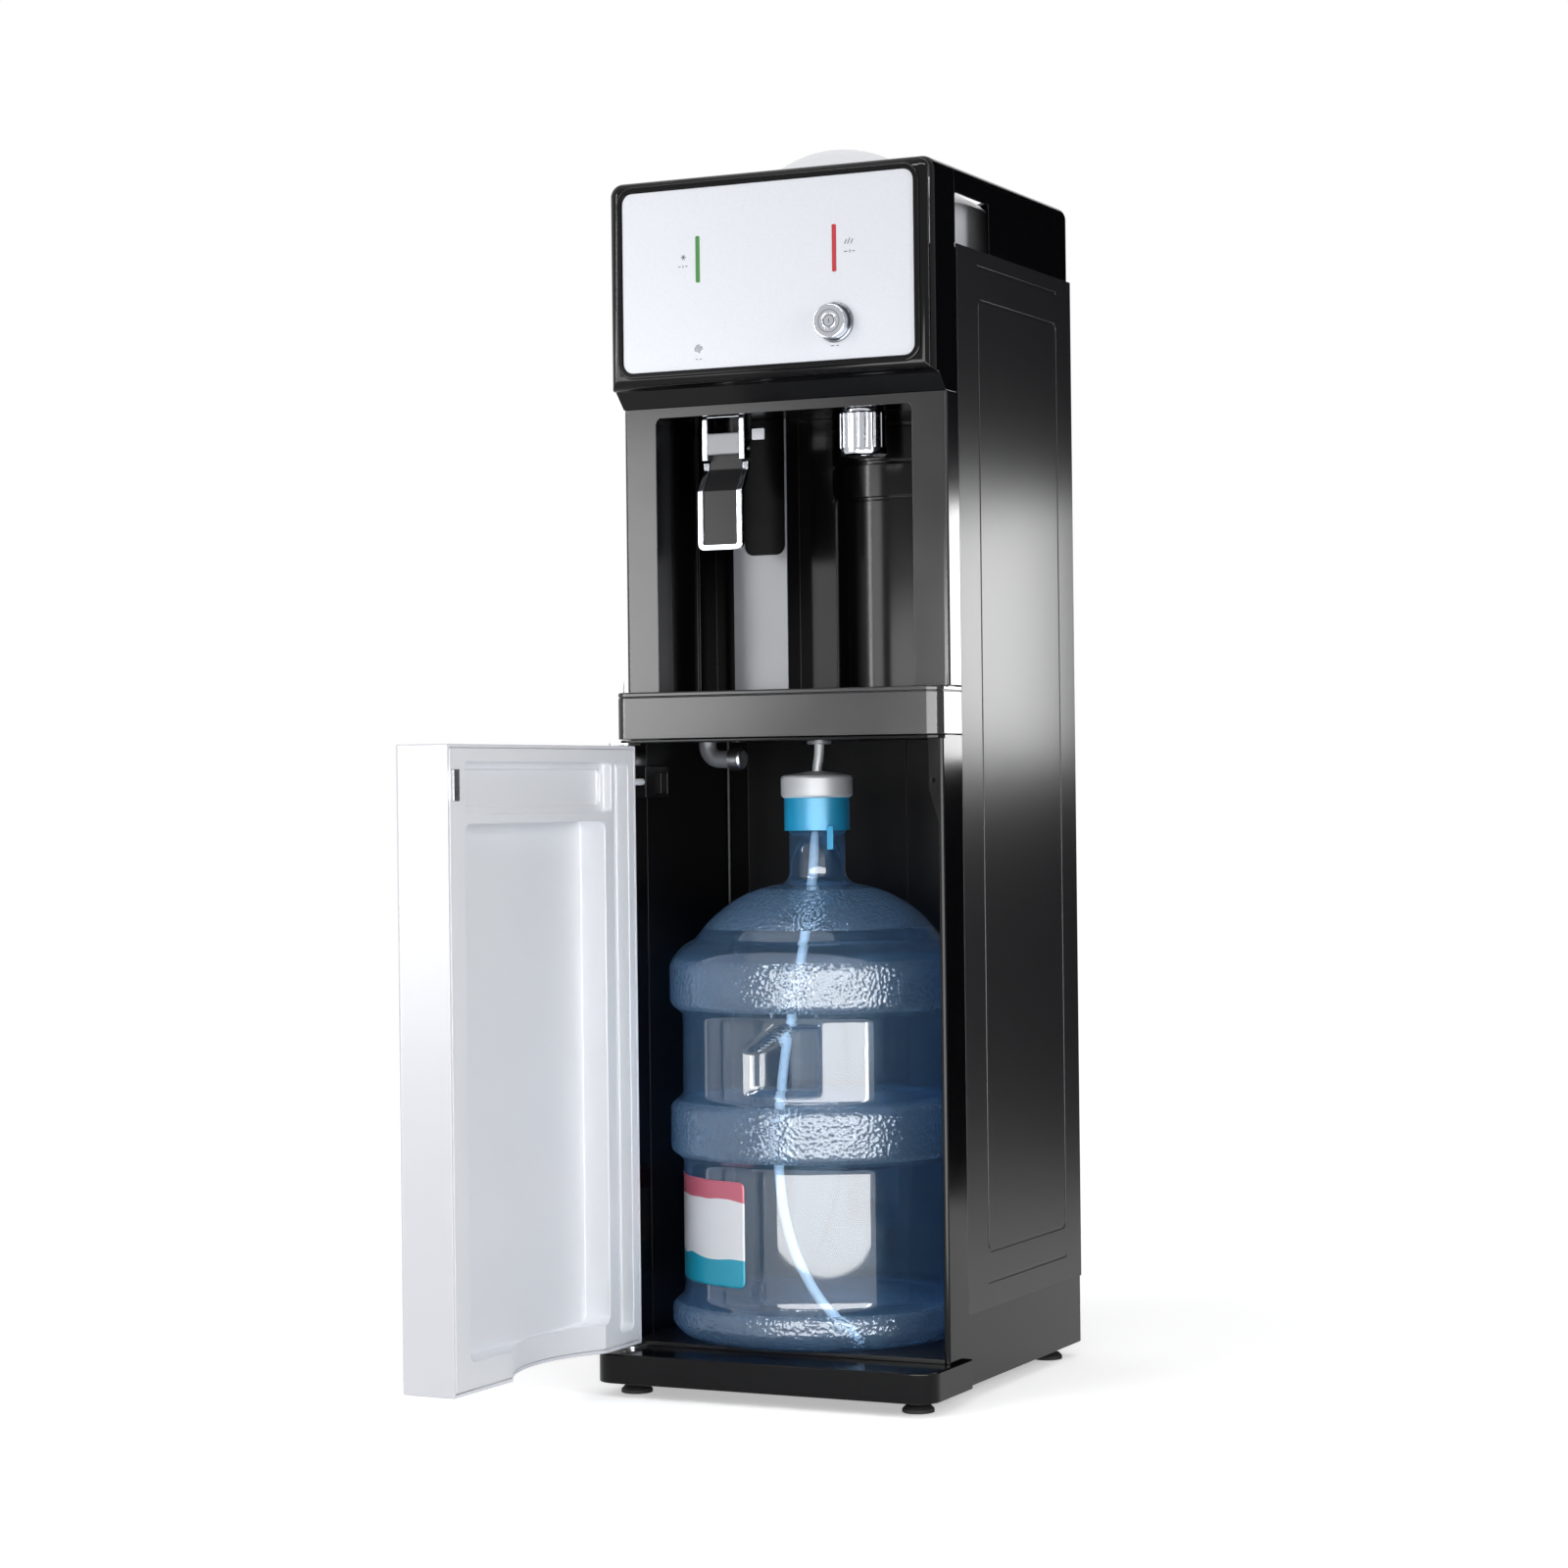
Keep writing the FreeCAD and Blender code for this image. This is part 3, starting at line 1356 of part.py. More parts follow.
def hot_outlet():
    """Fluted chrome nozzle that hangs from the niche ceiling."""
    body = new_body()
    sketch = new_sketch(body, "XZ_Plane", 0)
    radius = d.outlet_radius
    top = d.niche_ceiling
    outline(sketch, [(d.outlet_bore, d.outlet_bottom + 2), (radius - 4, d.outlet_bottom),
                     (radius - 1, d.outlet_bottom + 1.5), (radius, d.outlet_bottom + 4),
                     (radius, d.outlet_top - 1.5), (radius - 1.5, d.outlet_top),
                     (d.collar_radius, d.outlet_top), (d.collar_radius, top),
                     (d.outlet_bore, top)])
    feature(body, "Revolution", sketch)
    flute = new_sketch(body, "XY_Plane", d.outlet_top + 1)
    circle_at(flute, radius + d.flute_radius * 0.55, 0, d.flute_radius)
    pocket = feature(body, "Pocket", flute, d.outlet_top - d.outlet_bottom - 6)
    pattern = body.newObject("PartDesign::PolarPattern", "flutes")
    pattern.Originals = [pocket]
    pattern.Axis = (flute, ["N_Axis"])
    pattern.Angle = 360.0
    pattern.Occurrences = SIZES["flute_count"]
    body.Tip = pattern
    doc.recompute()
    move(body, d.tap_x, d.outlet_y, 0)
    part("hot_outlet", body)


def lever_track(front, depth, top):
    """Side view of the lever: upright, out through a bend, and upright again."""
    back = front + depth
    out = d.lever_offset
    bend0, bend1 = d.lever_bend_top, d.lever_bend_bottom
    return [(back, top), (front, top), (front, bend0), (front - out, bend1),
            (front - out, d.lever_bottom), (back - out, d.lever_bottom),
            (back - out, bend1), (back, bend0)]


def tap():
    middle = -d.tap_x
    wide = d.bracket_half_width
    cheek = d.cheek_width
    cheeks = []
    for x0, x1 in ((middle - wide, middle - wide + cheek),
                   (middle + wide - cheek, middle + wide)):
        block = box(x0, x1, d.cheek_front_y, d.cheek_rear_y, d.cheek_bottom, d.niche_ceiling)
        cheeks.append(rounded(block, 1.2, lambda edge: parallel(edge, Z)
                              and near(centre(edge).y, d.cheek_front_y)))
    bridge = box(middle - wide + cheek, middle + wide - cheek, d.cheek_front_y + 2,
                 d.cheek_rear_y, d.niche_ceiling - d.bridge_thickness, d.niche_ceiling)
    pin_way = rod(d.pin_radius, "X", middle - wide - 1, d.pin_y, d.pin_z, 2 * wide + 2)
    part("tap_bracket", cut(fuse(*cheeks, bridge), pin_way))
    part("lever_pin", rod(d.pin_radius, "X", middle - wide, d.pin_y, d.pin_z, 2 * wide))
    cover = box(middle - wide + cheek, middle + wide - cheek, d.cheek_front_y + 1,
                d.cover_rear_y, d.cover_bottom, d.cover_top)
    part("tap_cover", rounded(cover, 1.5, lambda edge: parallel(edge, X)
                              and near(centre(edge).y, d.cheek_front_y + 1)))
    spout = rod(d.spout_radius, "Z", middle, d.spout_y, d.spout_bottom + d.spout_tip_height,
                d.niche_ceiling - d.spout_bottom - d.spout_tip_height)
    tip = cone(d.spout_tip_radius, d.spout_radius, middle, d.spout_y, d.spout_bottom,
               d.spout_tip_height)
    bore = rod(d.spout_bore, "Z", middle, d.spout_y, d.spout_bottom - 1, 30)
    part("cold_spout", cut(fuse(spout, tip), bore))


def lever():
    middle = -d.tap_x
    wide = d.lever_half_width
    bar = d.lever_bar
    front = d.pin_y - d.hub_half_depth - 1.5
    frame = new_body()
    sketch = new_sketch(frame, "YZ_Plane", middle - wide)
    outline(sketch, lever_track(front, d.lever_depth, d.lever_top))
    feature(frame, "Pad", sketch, 2 * wide)
    window = box(middle - wide + bar, middle + wide - bar, front - d.lever_offset - 5,
                 front + 20, d.lever_bottom + bar, d.lever_top + 1)
    frame = rounded(cut(frame, window), d.lever_corner, lambda edge: parallel(edge, Y)
                    and near(centre(edge).z, d.lever_bottom))
    part("lever_frame", frame)
    paddle = new_body()
    sketch = new_sketch(paddle, "YZ_Plane", middle - wide + bar)
    inset = (d.lever_depth - d.paddle_depth) / 2
    outline(sketch, lever_track(front + inset, d.paddle_depth, d.lever_top))
    feature(paddle, "Pad", sketch, 2 * wide - 2 * bar)
    below = box(middle - wide + bar - 1, middle + wide - bar + 1, front - 30, front + 20,
                d.lever_bottom - 1, d.lever_bottom + bar)
    hub_side = d.bracket_half_width - d.cheek_width - d.seat_gap
    hub = box(middle - hub_side, middle + hub_side, d.pin_y - d.hub_half_depth,
              d.pin_y + d.hub_half_depth, d.lever_top - 6, d.pin_z + d.hub_rise)
    hub = rounded(hub, 2.5, lambda edge: parallel(edge, X)
                  and near(centre(edge).z, d.pin_z + d.hub_rise))
    pin_way = rod(d.pin_radius + d.pin_clearance, "X", middle - wide, d.pin_y, d.pin_z,
                  2 * wide)
    part("lever_paddle", cut(fuse(cut(paddle, below), hub), pin_way))


# ---------- drip tray ----------

def drip_tray():
    side = d.tray_half_width
    fascia = box(-side, side, d.tray_front_y, d.tray_wing_rear_y, d.tray_bottom, d.tray_top)
    fascia = rounded(fascia, d.tray_corner, lambda edge: parallel(edge, Z)
                     and near(centre(edge).y, d.tray_front_y))
    fascia = rounded(fascia, 1.5, lambda edge: near(centre(edge).z, d.tray_top)
                     and centre(edge).y < d.tray_wing_rear_y.value - 1)
    wall = d.wall
    inside = box(-side + wall, side - wall, d.tray_front_y + wall, d.tray_wing_rear_y + 1,
                 d.tray_bottom - 1, d.tray_top - 2)
    inside = rounded(inside, d.tray_corner - wall, lambda edge: parallel(edge, Z)
                     and centre(edge).y < d.tray_front_y.value + 2 * wall.value)
    back_cut = box(-side - 1, side + 1, d.niche_face_y - d.basin_side_gap,
                   d.tray_wing_rear_y + 1, d.tray_top - 2.5, d.tray_top + 1)
    wings = []
    for sign in (-1, 1):
        x0, x1 = (side - wall, side) if sign > 0 else (-side, -side + wall)
        wings.append(box(x0, x1, d.niche_face_y - 5, d.tray_wing_rear_y, d.tray_bottom,
                         d.tray_top - 0.5))
    basin_side = d.niche_half_width - d.basin_side_gap
    y0 = d.tray_front_y + wall - 0.5
    y1 = d.niche_ledge_y - d.basin_side_gap
    basin = box(-basin_side, basin_side, y0, y1, d.basin_floor_z, d.tray_top - 2)
    step = d.basin_wall + d.basin_shelf_width
    well = box(-basin_side + step, basin_side - step, y0 + step, y1 - step,
               d.basin_floor_z + d.basin_wall, d.tray_top + 1)
    shelf_z = d.tray_top - d.grille_drop - d.grille_thickness
    seat = box(-basin_side + d.basin_wall, basin_side - d.basin_wall, y0 + d.basin_wall,
               y1 - d.basin_wall, shelf_z, d.tray_top + 1)
    line_z = d.tray_top - d.tray_line_drop
    depth = d.tray_line_depth
    ring = box(-side - 1, side + 1, d.tray_front_y - 1, d.tray_wing_rear_y + 1, line_z,
               line_z + d.tray_line_height)
    core = box(-side + depth, side - depth, d.tray_front_y + depth, d.tray_wing_rear_y + 2,
               line_z - 1, line_z + d.tray_line_height + 1)
    core = rounded(core, d.tray_corner - depth, lambda edge: parallel(edge, Z)
                   and centre(edge).y < d.tray_front_y.value + 5)
    shell = fuse(cut(fascia, inside, back_cut), *wings, basin)
    part("drip_tray", cut(shell, well, seat, cut(ring, core)))


def tray_grille():
    gap = d.grille_gap
    side = d.niche_half_width - d.basin_side_gap - d.basin_wall - gap
    y0 = d.tray_front_y + d.wall - 0.5 + d.basin_wall + gap
    y1 = d.niche_ledge_y - d.basin_side_gap - d.basin_wall - gap
    z0 = d.tray_top - d.grille_drop - d.grille_thickness + d.seat_gap
    body = new_body()
    sketch = new_sketch(body, "XY_Plane", z0)
    rounded_rectangle(sketch, -side, side, y0, y1, 3)
    feature(body, "Pad", sketch, d.grille_thickness)
    margin = d.slot_margin
    sketch = new_sketch(body, "XY_Plane", z0 + d.grille_thickness)
    left = -side + margin
    rounded_rectangle(sketch, left, left + d.slot_width, y0 + margin, y1 - margin,
                      d.slot_width * 0.45)
    pocket = feature(body, "Pocket", sketch, d.grille_thickness)
    run = 2 * side - 2 * margin - d.slot_width
    count = int(run.value // d.slot_pitch.value) + 1
    pattern = body.newObject("PartDesign::LinearPattern", "slots")
    pattern.Originals = [pocket]
    pattern.Direction = (sketch, ["H_Axis"])
    bind(pattern, "Length", run)
    pattern.Occurrences = count
    body.Tip = pattern
    doc.recompute()
    part("tray_grille", body)


# ---------- door ----------

def swing(piece):
    """Turn a door piece about the hinge pins from closed to the stored open place."""
    angle = d.door_open_angle.value
    turn = FreeCAD.Rotation(Z, -angle)
    pivot = FreeCAD.Vector(d.hinge_x.value, d.hinge_y.value, 0)
    piece.Placement = FreeCAD.Placement(pivot - turn.multVec(pivot), turn)


def door_shell():
    side = d.door_half_width
    front = d.door_inner_y - d.door_thickness
    body = box(-side, side, front, d.door_inner_y, d.door_bottom, d.door_top)
    body = rounded(body, d.door_corner, lambda edge: parallel(edge, Z)
                   and near(centre(edge).y, front))
    body = rounded(body, 1.5, lambda edge: centre(edge).y < front.value + 6
                   and (near(centre(edge).z, d.door_top) or near(centre(edge).z, d.door_bottom)))
    wall = d.door_wall
    inside = box(-side + wall, side - wall, front + wall, d.door_inner_y + 1,
                 d.door_bottom + wall, d.door_top - wall)
    shell = part("door_shell", cut(body, inside, bottle_scoop(), *hinge_pin_holes()))
    swing(shell)


def bottle_scoop():
    """The room that the bottle's foot takes in the door's lower border."""
    low = d.door_bottom - 1
    return rod(d.bottle_radius + d.scoop_clearance, "Z", d.bottle_x, d.bottle_y, low,
               d.recess_bottom - low + 4)


def recess_block(x0, x1, z0, z1, depth, radius):
    return block_with_corners(x0, x1, d.door_inner_y - depth, d.door_inner_y + 1, z0, z1,
                              radius, Y)


def door_liner():
    """Inner moulding of the door, with its stepped recesses and the scoop for the bottle."""
    gap = d.liner_gap
    side = d.door_half_width - d.door_wall - gap
    low = d.door_bottom + d.door_wall + gap
    high = d.door_top - d.door_wall - gap
    body = box(-side, side, d.door_inner_y - d.liner_depth, d.door_inner_y, low, high)
    step = d.liner_edge_gap
    body = rounded(body, step, lambda edge: near(edge.BoundBox.YMin, d.door_inner_y))
    channel = recess_block(d.channel_left_x, d.channel_right_x, d.channel_bottom,
                           d.ledge_recess_top, d.channel_depth, 6)
    main = recess_block(d.recess_left_x, d.recess_right_x, d.recess_bottom, d.recess_top,
                        d.recess_depth, d.recess_corner)
    left = d.channel_right_x + 5
    ledge = recess_block(left, d.recess_right_x, d.ledge_recess_bottom, d.ledge_recess_top,
                         d.ledge_recess_depth, 4)
    inset = d.ledge_step
    ledge_floor = recess_block(left + inset, d.recess_right_x - inset,
                               d.ledge_recess_bottom + inset, d.ledge_recess_top - inset,
                               d.ledge_recess_depth + 4, 4)
    liner = part("door_liner", cut(body, channel, main, ledge, ledge_floor, bottle_scoop(),
                                   *hinge_pin_holes()))
    swing(liner)


def door_magnet():
    block = box(d.magnet_x - d.magnet_width / 2, d.magnet_x + d.magnet_width / 2,
                d.door_inner_y, d.door_inner_y + d.magnet_proud,
                d.magnet_z - d.magnet_height / 2, d.magnet_z + d.magnet_height / 2)
    swing(part("door_magnet", rounded(block, 1, lambda edge: parallel(edge, Y))))


# ---------- bottle ----------

def banded_wall(inset):
    """Points up the outside of the bottle, moved in by inset, from foot to neck."""
    full = d.bottle_radius - inset
    waist = d.bottle_waist - inset
    bevel = d.band_bevel
    points = [(full, d.band_one_top - bevel), (waist, d.band_one_top + bevel),
              (waist, d.band_two_bottom - bevel), (full, d.band_two_bottom + bevel),
              (full, d.band_two_top - bevel), (waist, d.band_two_top + bevel),
              (waist, d.band_three_bottom - bevel), (full, d.band_three_bottom + bevel)]
    points.append((full, d.band_three_top - bevel, d.shoulder_edge_round))
    points.append((d.step_ring_radius - inset, d.step_ring_z + 4))
    points.append((d.shoulder_radius - inset, d.shoulder_z, d.shoulder_round))
    points.append((d.neck_flare - inset, d.neck_base_z - 2, -14))
    points.append((d.neck_radius - inset, d.neck_base_z + 8))
    points.append((d.neck_radius - inset, d.neck_top_z))
    return points


def bottle():
    wall = d.bottle_wall
    foot = d.bottle_foot
    outside = [(0, 0), (foot, 0, 22)]
    outside[1] = (foot, lift(0.0) + 0, 22)
    outside.append((d.bottle_radius, d.band_one_top - 18))
    inside = banded_wall(wall)
    back_down = []
    for n in range(len(inside) - 1, -1, -1):
        point = inside[n]
        before = inside[n - 1] if n else None
        if before is not None and len(before) == 3:
            back_down.append((point[0], point[1], -lift(before[2])))
        else:
            back_down.append((point[0], point[1]))
    back_down.append((d.bottle_radius - wall, d.band_one_top - 18, -21))
    back_down.append((foot - wall, wall))
    back_down.append((0, wall))
    profile = [(0, 0)] + outside[1:] + banded_wall(0) + back_down
    base = d.platform_top - d.platform_dish
    turned("bottle", profile, d.bottle_x, d.bottle_y, base)


def bottle_caps():
    base = d.platform_top - d.platform_dish
    top = base + d.cap_top_z
    low = base + d.cap_bottom_z
    x, y = d.bottle_x, d.bottle_y
    skirt = cut(rod(d.cap_radius, "Z", x, y, low, top - low),
                rod(d.neck_radius + d.cap_gap, "Z", x, y, low - 1, d.neck_top_z - d.cap_bottom_z + 1),
                rod(d.cap_bore, "Z", x, y, low, top - low + 1))
    away = d.cap_radius * 0.68
    tongue = box(x + away, x + away + 6, y - away - 3, y - away, low - d.tab_drop, low + 4)
    part("bottle_cap", fuse(skirt, tongue))
    radius = d.probe_cap_radius
    bore = d.probe_bore
    high = d.probe_cap_height
    rise = d.probe_cap_rise
    turned("probe_cap", [(bore, 0), (radius - 2, 0), (radius, 2), (radius, high - 5, 4),
                         (radius - 3, high - 1.5), (radius - 6, high - 1), (bore, high - 1 + rise)],
           x, y, top)


# The hose's route, chosen by hand: from its gland, down through the caps to the bottle's foot.
HOSE_ROUTE = [
    (-11.5, -20.8, 572.0), (-11.5, -20.8, 563.0), (-14.0, -22.0, 547.5), (-14.2, -22.3, 528.0),
    (-14.6, -23.5, 494.0), (-17.0, -27.0, 446.0), (-23.0, -34.0, 392.0), (-31.0, -42.0, 336.0),
    (-37.0, -51.0, 280.0), (-38.0, -61.0, 224.0), (-31.0, -73.0, 172.0), (-14.0, -86.0, 126.0),
    (12.0, -96.0, 88.0), (40.0, -101.0, 61.0), (62.0, -103.0, 50.5),
]


def suction_hose():
    """Clear suction hose: straight runs joined by arcs as large as the runs allow."""
    points = [FreeCAD.Vector(*p) for p in HOSE_ROUTE]
    edges = []
    start = points[0]
    radii = []
    for before, corner, after in zip(points, points[1:], points[2:]):
        way_in = (corner - before).normalize()
        way_out = (after - corner).normalize()
        turn = way_in.getAngle(way_out)
        shorter = min((corner - before).Length, (after - corner).Length)
        radius = 0.45 * shorter / math.tan(turn / 2)
        reach = 0.45 * shorter
        arc_start = corner - way_in * reach
        arc_end = corner + way_out * reach
        inward = (way_out - way_in).normalize()
        middle = corner + inward * (radius / math.cos(turn / 2) - radius)
        edges.append(Part.LineSegment(start, arc_start).toShape())
        edges.append(Part.Arc(arc_start, middle, arc_end).toShape())
        start = arc_end
        radii.append(radius)
    edges.append(Part.LineSegment(start, points[-1]).toShape())
    print("hose radii", [round(radius) for radius in radii],
          "length", round(sum(edge.Length for edge in edges)))
    solid_piece("suction_hose", swept(edges, d.hose_radius.value))


def hose_gland():
    height = d.gland_height
    x, y = d.gland_x, d.gland_y
    z = d.bay_ceiling - height
    body = rod(d.gland_radius, "Z", x, y, z, height)
    bore = rod(d.gland_bore, "Z", x, y, z - 1, height + 2)
    part("hose_gland", cut(rounded(body, 1.5, lambda edge: near(centre(edge).z, z)
                                   and edge.BoundBox.ZLength < 0.1), bore))


# ---------- machine space ----------

def machine_floor():
    return d.bay_ceiling + d.bay_wall + d.deck_sheet


def compressor():
    low = machine_floor() + d.mount_height
    radius = d.compressor_radius
    height = d.compressor_height
    crown = radius * 0.55
    can = turned_profile([(0, 2), (radius - 12, 2, 14), (radius, 16),
                          (radius, height - crown, crown_radius(crown, radius)),
                          (0, height)], d.compressor_x, d.compressor_y, low)
    plate = box(d.compressor_x - radius - 8, d.compressor_x + radius + 8,
                d.compressor_y - radius + 10, d.compressor_y + radius - 10, low, low + 3)
    part("compressor", fuse(can, plate))
    mounts = []
    for sx in (-1, 1):
        for sy in (-1, 1):
            mounts.append(rod(d.mount_radius, "Z", d.compressor_x + sx * (radius - 2),
                              d.compressor_y + sy * (radius - 20), machine_floor(),
                              d.mount_height))
    part("compressor_mounts", fuse(*mounts))


def turned_profile(profile, x, y, z):
    body = new_body()
    sketch = new_sketch(body, "XZ_Plane", 0)
    outline(sketch, profile)
    feature(body, "Revolution", sketch)
    return move(body, x, y, z)


def tanks():
    radius = d.cold_tank_radius
    low, high = d.cold_tank_bottom, d.cold_tank_top
    height = high - low
    tank = turned_profile([(0, 0), (radius - 10, 0, 10), (radius, 10), (radius, height), (0, height)],
                          d.tank_x, d.tank_y, low)
    part("cold_tank", tank)
    foam = d.foam_thickness
    block = box(d.tank_x - radius - foam, d.tank_x + radius + foam,
                d.tank_y - radius - foam, d.tank_y + radius + foam, low - foam, high)
    gap = d.seat_gap
    hollow = rod(radius + gap, "Z", d.tank_x, d.tank_y, low, height + 1)
    part("tank_insulation", cut(block, hollow))
    legs = machine_floor() + d.mount_height + d.compressor_height + 6
    shelf = box(-half_width + d.steel_sheet, d.hot_tank_x + d.hot_tank_radius + 8,
                d.niche_back_y + d.niche_wall + 1, d.rear_panel_y, legs, legs + d.deck_sheet)
    part("tank_shelf", shelf_with_posts(shelf, legs))
    radius = d.hot_tank_radius
    height = d.hot_tank_top - d.hot_tank_bottom
    hot = turned_profile([(0, 0), (radius - 8, 0, 8), (radius, 8), (radius, height - 8, 8),
                          (radius - 8, height), (0, height)],
                         d.hot_tank_x, d.hot_tank_y, d.hot_tank_bottom)
    feet = rod(radius * 0.7, "Z", d.hot_tank_x, d.hot_tank_y, legs + d.deck_sheet,
               d.hot_tank_bottom - legs - d.deck_sheet + 1)
    part("hot_tank", fuse(hot, feet))


def shelf_with_posts(shelf, legs):
    """The upper shelf, the posts it stands on and the two cradles for the cold tank."""
    thick = d.deck_sheet
    floor = machine_floor()
    y1 = d.rear_panel_y
    posts = [box(half_width - d.steel_sheet - 24, half_width - d.steel_sheet - 22,
                 y1 - 30, y1, floor, legs),
             box(-half_width + d.steel_sheet, -half_width + d.steel_sheet + thick,
                 y1 - 30, y1, floor, legs)]
    top = d.cold_tank_bottom - d.foam_thickness
    cradles = [box(d.tank_x - d.cold_tank_radius, d.tank_x + d.cold_tank_radius,
                   d.tank_y + shift, d.tank_y + shift + thick, legs + thick, top)
               for shift in (-40, 40)]
    return fuse(shelf, *posts, *cradles)


def water_pump():
    floor = machine_floor()
    radius = d.pump_radius
    z = floor + radius + 6
    motor = rod(radius, "X", d.pump_x - d.pump_length / 2, d.pump_y, z, d.pump_length)
    head = box(d.pump_x - d.pump_length / 2 - 22, d.pump_x - d.pump_length / 2,
               d.pump_y - radius, d.pump_y + radius, floor + 4, z + radius)
    foot = box(d.pump_x - d.pump_length / 2, d.pump_x + d.pump_length / 2 - 8,
               d.pump_y - radius, d.pump_y + radius, floor, floor + 8)
    part("water_pump", fuse(motor, head, foot))


def water_tubes():
    """Hidden water ways: gland to pump, cold tank to spout and hot tank to outlet."""
    floor = machine_floor().value
    tube = d.tube_radius.value
    pump_left = (d.pump_x - d.pump_length / 2 - 22).value
    rise = floor + d.feed_rise.value
    gland = (d.gland_x.value, d.gland_y.value)
    first = [(gland[0], gland[1], floor - 4), (gland[0], gland[1], rise),
             (gland[0], d.pump_y.value, rise), (pump_left, d.pump_y.value, rise)]
    top = (d.niche_ceiling + d.niche_wall).value + 10
    roof = d.niche_ceiling.value + 0.5
    cold = [(-d.tap_x.value, d.spout_y.value, roof), (-d.tap_x.value, d.spout_y.value, top),
            (-d.tap_x.value, (d.tank_y - d.cold_tank_radius - d.foam_thickness).value, top)]
    hot = [(d.tap_x.value, d.outlet_y.value, roof), (d.tap_x.value, d.outlet_y.value, top),
           (d.tap_x.value, (d.hot_tank_y - d.hot_tank_radius).value + 0.5, top)]
    solids = [bent_tube(route, tube, 2 * tube) for route in (first, cold, hot)]
    solid_piece("water_tubes", Part.makeCompound(solids))


def bent_tube(route, radius, bend):
    """A tube of straight runs with one bend radius at every corner."""
    points = [FreeCAD.Vector(*p) for p in route]
    edges = []
    start = points[0]
    for before, corner, after in zip(points, points[1:], points[2:]):
        way_in = (corner - before).normalize()
        way_out = (after - corner).normalize()
        turn = way_in.getAngle(way_out)
        reach = bend * math.tan(turn / 2)
        inward = (way_out - way_in).normalize()
        middle = corner + inward * (bend / math.cos(turn / 2) - bend)
        edges.append(Part.LineSegment(start, corner - way_in * reach).toShape())
        edges.append(Part.Arc(corner - way_in * reach, middle, corner + way_out * reach).toShape())
        start = corner + way_out * reach
    edges.append(Part.LineSegment(start, points[-1]).toShape())
    return swept(edges, radius)


# ---------- build and write ----------

def build():
    levelling_feet()
    base_lip()
    base_rear()
    bottle_platform()
    side_panel("side_panel_left", -1)
    side_panel("side_panel_right", 1)
    rear_panel()
    mains_inlet()
    drain_plugs()
    condenser()
    front_frame()
    bottle_bay_liner()
    machine_deck()
    hinge_brackets()
    door_switch()
    drain_elbow()
    niche_frame()
    niche_liner()
    splash_plates()
    head_bezel()
    panel_trim()
    control_panel()
    head_controls()
    control_board()
    top_hood()
    top_deck()
    top_lid()
    hot_outlet()
    tap()
    lever()
    drip_tray()
    tray_grille()
    door_shell()
    door_liner()
    door_magnet()
    bottle()
    bottle_caps()
    suction_hose()
    hose_gland()
    compressor()
    tanks()
    water_pump()
    water_tubes()


def write():
    doc.recompute()
    for thing in doc.Objects:
        if "Invalid" in thing.State or "Error" in thing.State:
            raise RuntimeError(f"{thing.Name} ({thing.Label}) failed: {thing.State}")
    os.makedirs("parts", exist_ok=True)
    for piece in parts:
        shape = piece.Shape
        if shape.isNull() or not shape.isValid() or not shape.Solids:
            raise RuntimeError(f"{piece.Label} has no valid solid")
        shape.exportStep(f"parts/{piece.Label}.step")
    print(len(parts), "sub-parts written")


build()
write()
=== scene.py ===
import math

import bmesh
import bpy
from mathutils import Matrix, Vector


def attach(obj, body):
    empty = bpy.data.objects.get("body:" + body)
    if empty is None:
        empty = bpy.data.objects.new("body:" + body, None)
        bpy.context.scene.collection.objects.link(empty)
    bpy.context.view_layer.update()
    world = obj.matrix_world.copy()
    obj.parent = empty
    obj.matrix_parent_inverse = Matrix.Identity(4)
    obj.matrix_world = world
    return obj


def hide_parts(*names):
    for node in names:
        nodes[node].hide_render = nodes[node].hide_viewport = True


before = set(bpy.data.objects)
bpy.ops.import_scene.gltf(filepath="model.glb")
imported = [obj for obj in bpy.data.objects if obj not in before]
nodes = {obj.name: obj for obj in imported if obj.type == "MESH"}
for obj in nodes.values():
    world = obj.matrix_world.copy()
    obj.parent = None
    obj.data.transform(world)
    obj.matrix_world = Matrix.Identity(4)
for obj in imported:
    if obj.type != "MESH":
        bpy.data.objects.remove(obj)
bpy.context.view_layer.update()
print("frame loaded:", len(nodes), "nodes")

mm = 0.001


def hexColour(code):
    # sRGB hex to the linear values that a shader socket takes
    channels = [int(code[n:n + 2], 16) / 255 for n in (1, 3, 5)]
    linear = [c / 12.92 if c <= 0.04045 else ((c + 0.055) / 1.055) ** 2.4 for c in channels]
    return (*linear, 1.0)


def addNode(tree, kind, settings=None, links=None):
    # one node, its plain settings, its socket values and what feeds it
    node = tree.nodes.new(kind)
    for name, value in (settings or {}).items():
        if name in node.inputs:
            node.inputs[name].default_value = value
        else:
            setattr(node, name, value)
    for name, source in (links or {}).items():
        tree.links.new(source, node.inputs[name])
    return node


def newMaterial(name):
    material = bpy.data.materials.new(name)
    material.use_nodes = True
    tree = material.node_tree
    tree.nodes.clear()
    output = addNode(tree, "ShaderNodeOutputMaterial")
    return material, tree, output


def finishMaterial(tree, output, shader):
    tree.links.new(shader, output.inputs["Surface"])


def link(piece):
    bpy.context.scene.collection.objects.link(piece)
    return piece


def meshPiece(name, verts, faces, material, smooth=True):
    mesh = bpy.data.meshes.new(name)
    mesh.from_pydata([Vector(v) for v in verts], [], faces)
    mesh.materials.append(material)
    mesh.polygons.foreach_set("use_smooth", [smooth] * len(mesh.polygons))
    mesh.update()
    return link(bpy.data.objects.new(name, mesh))


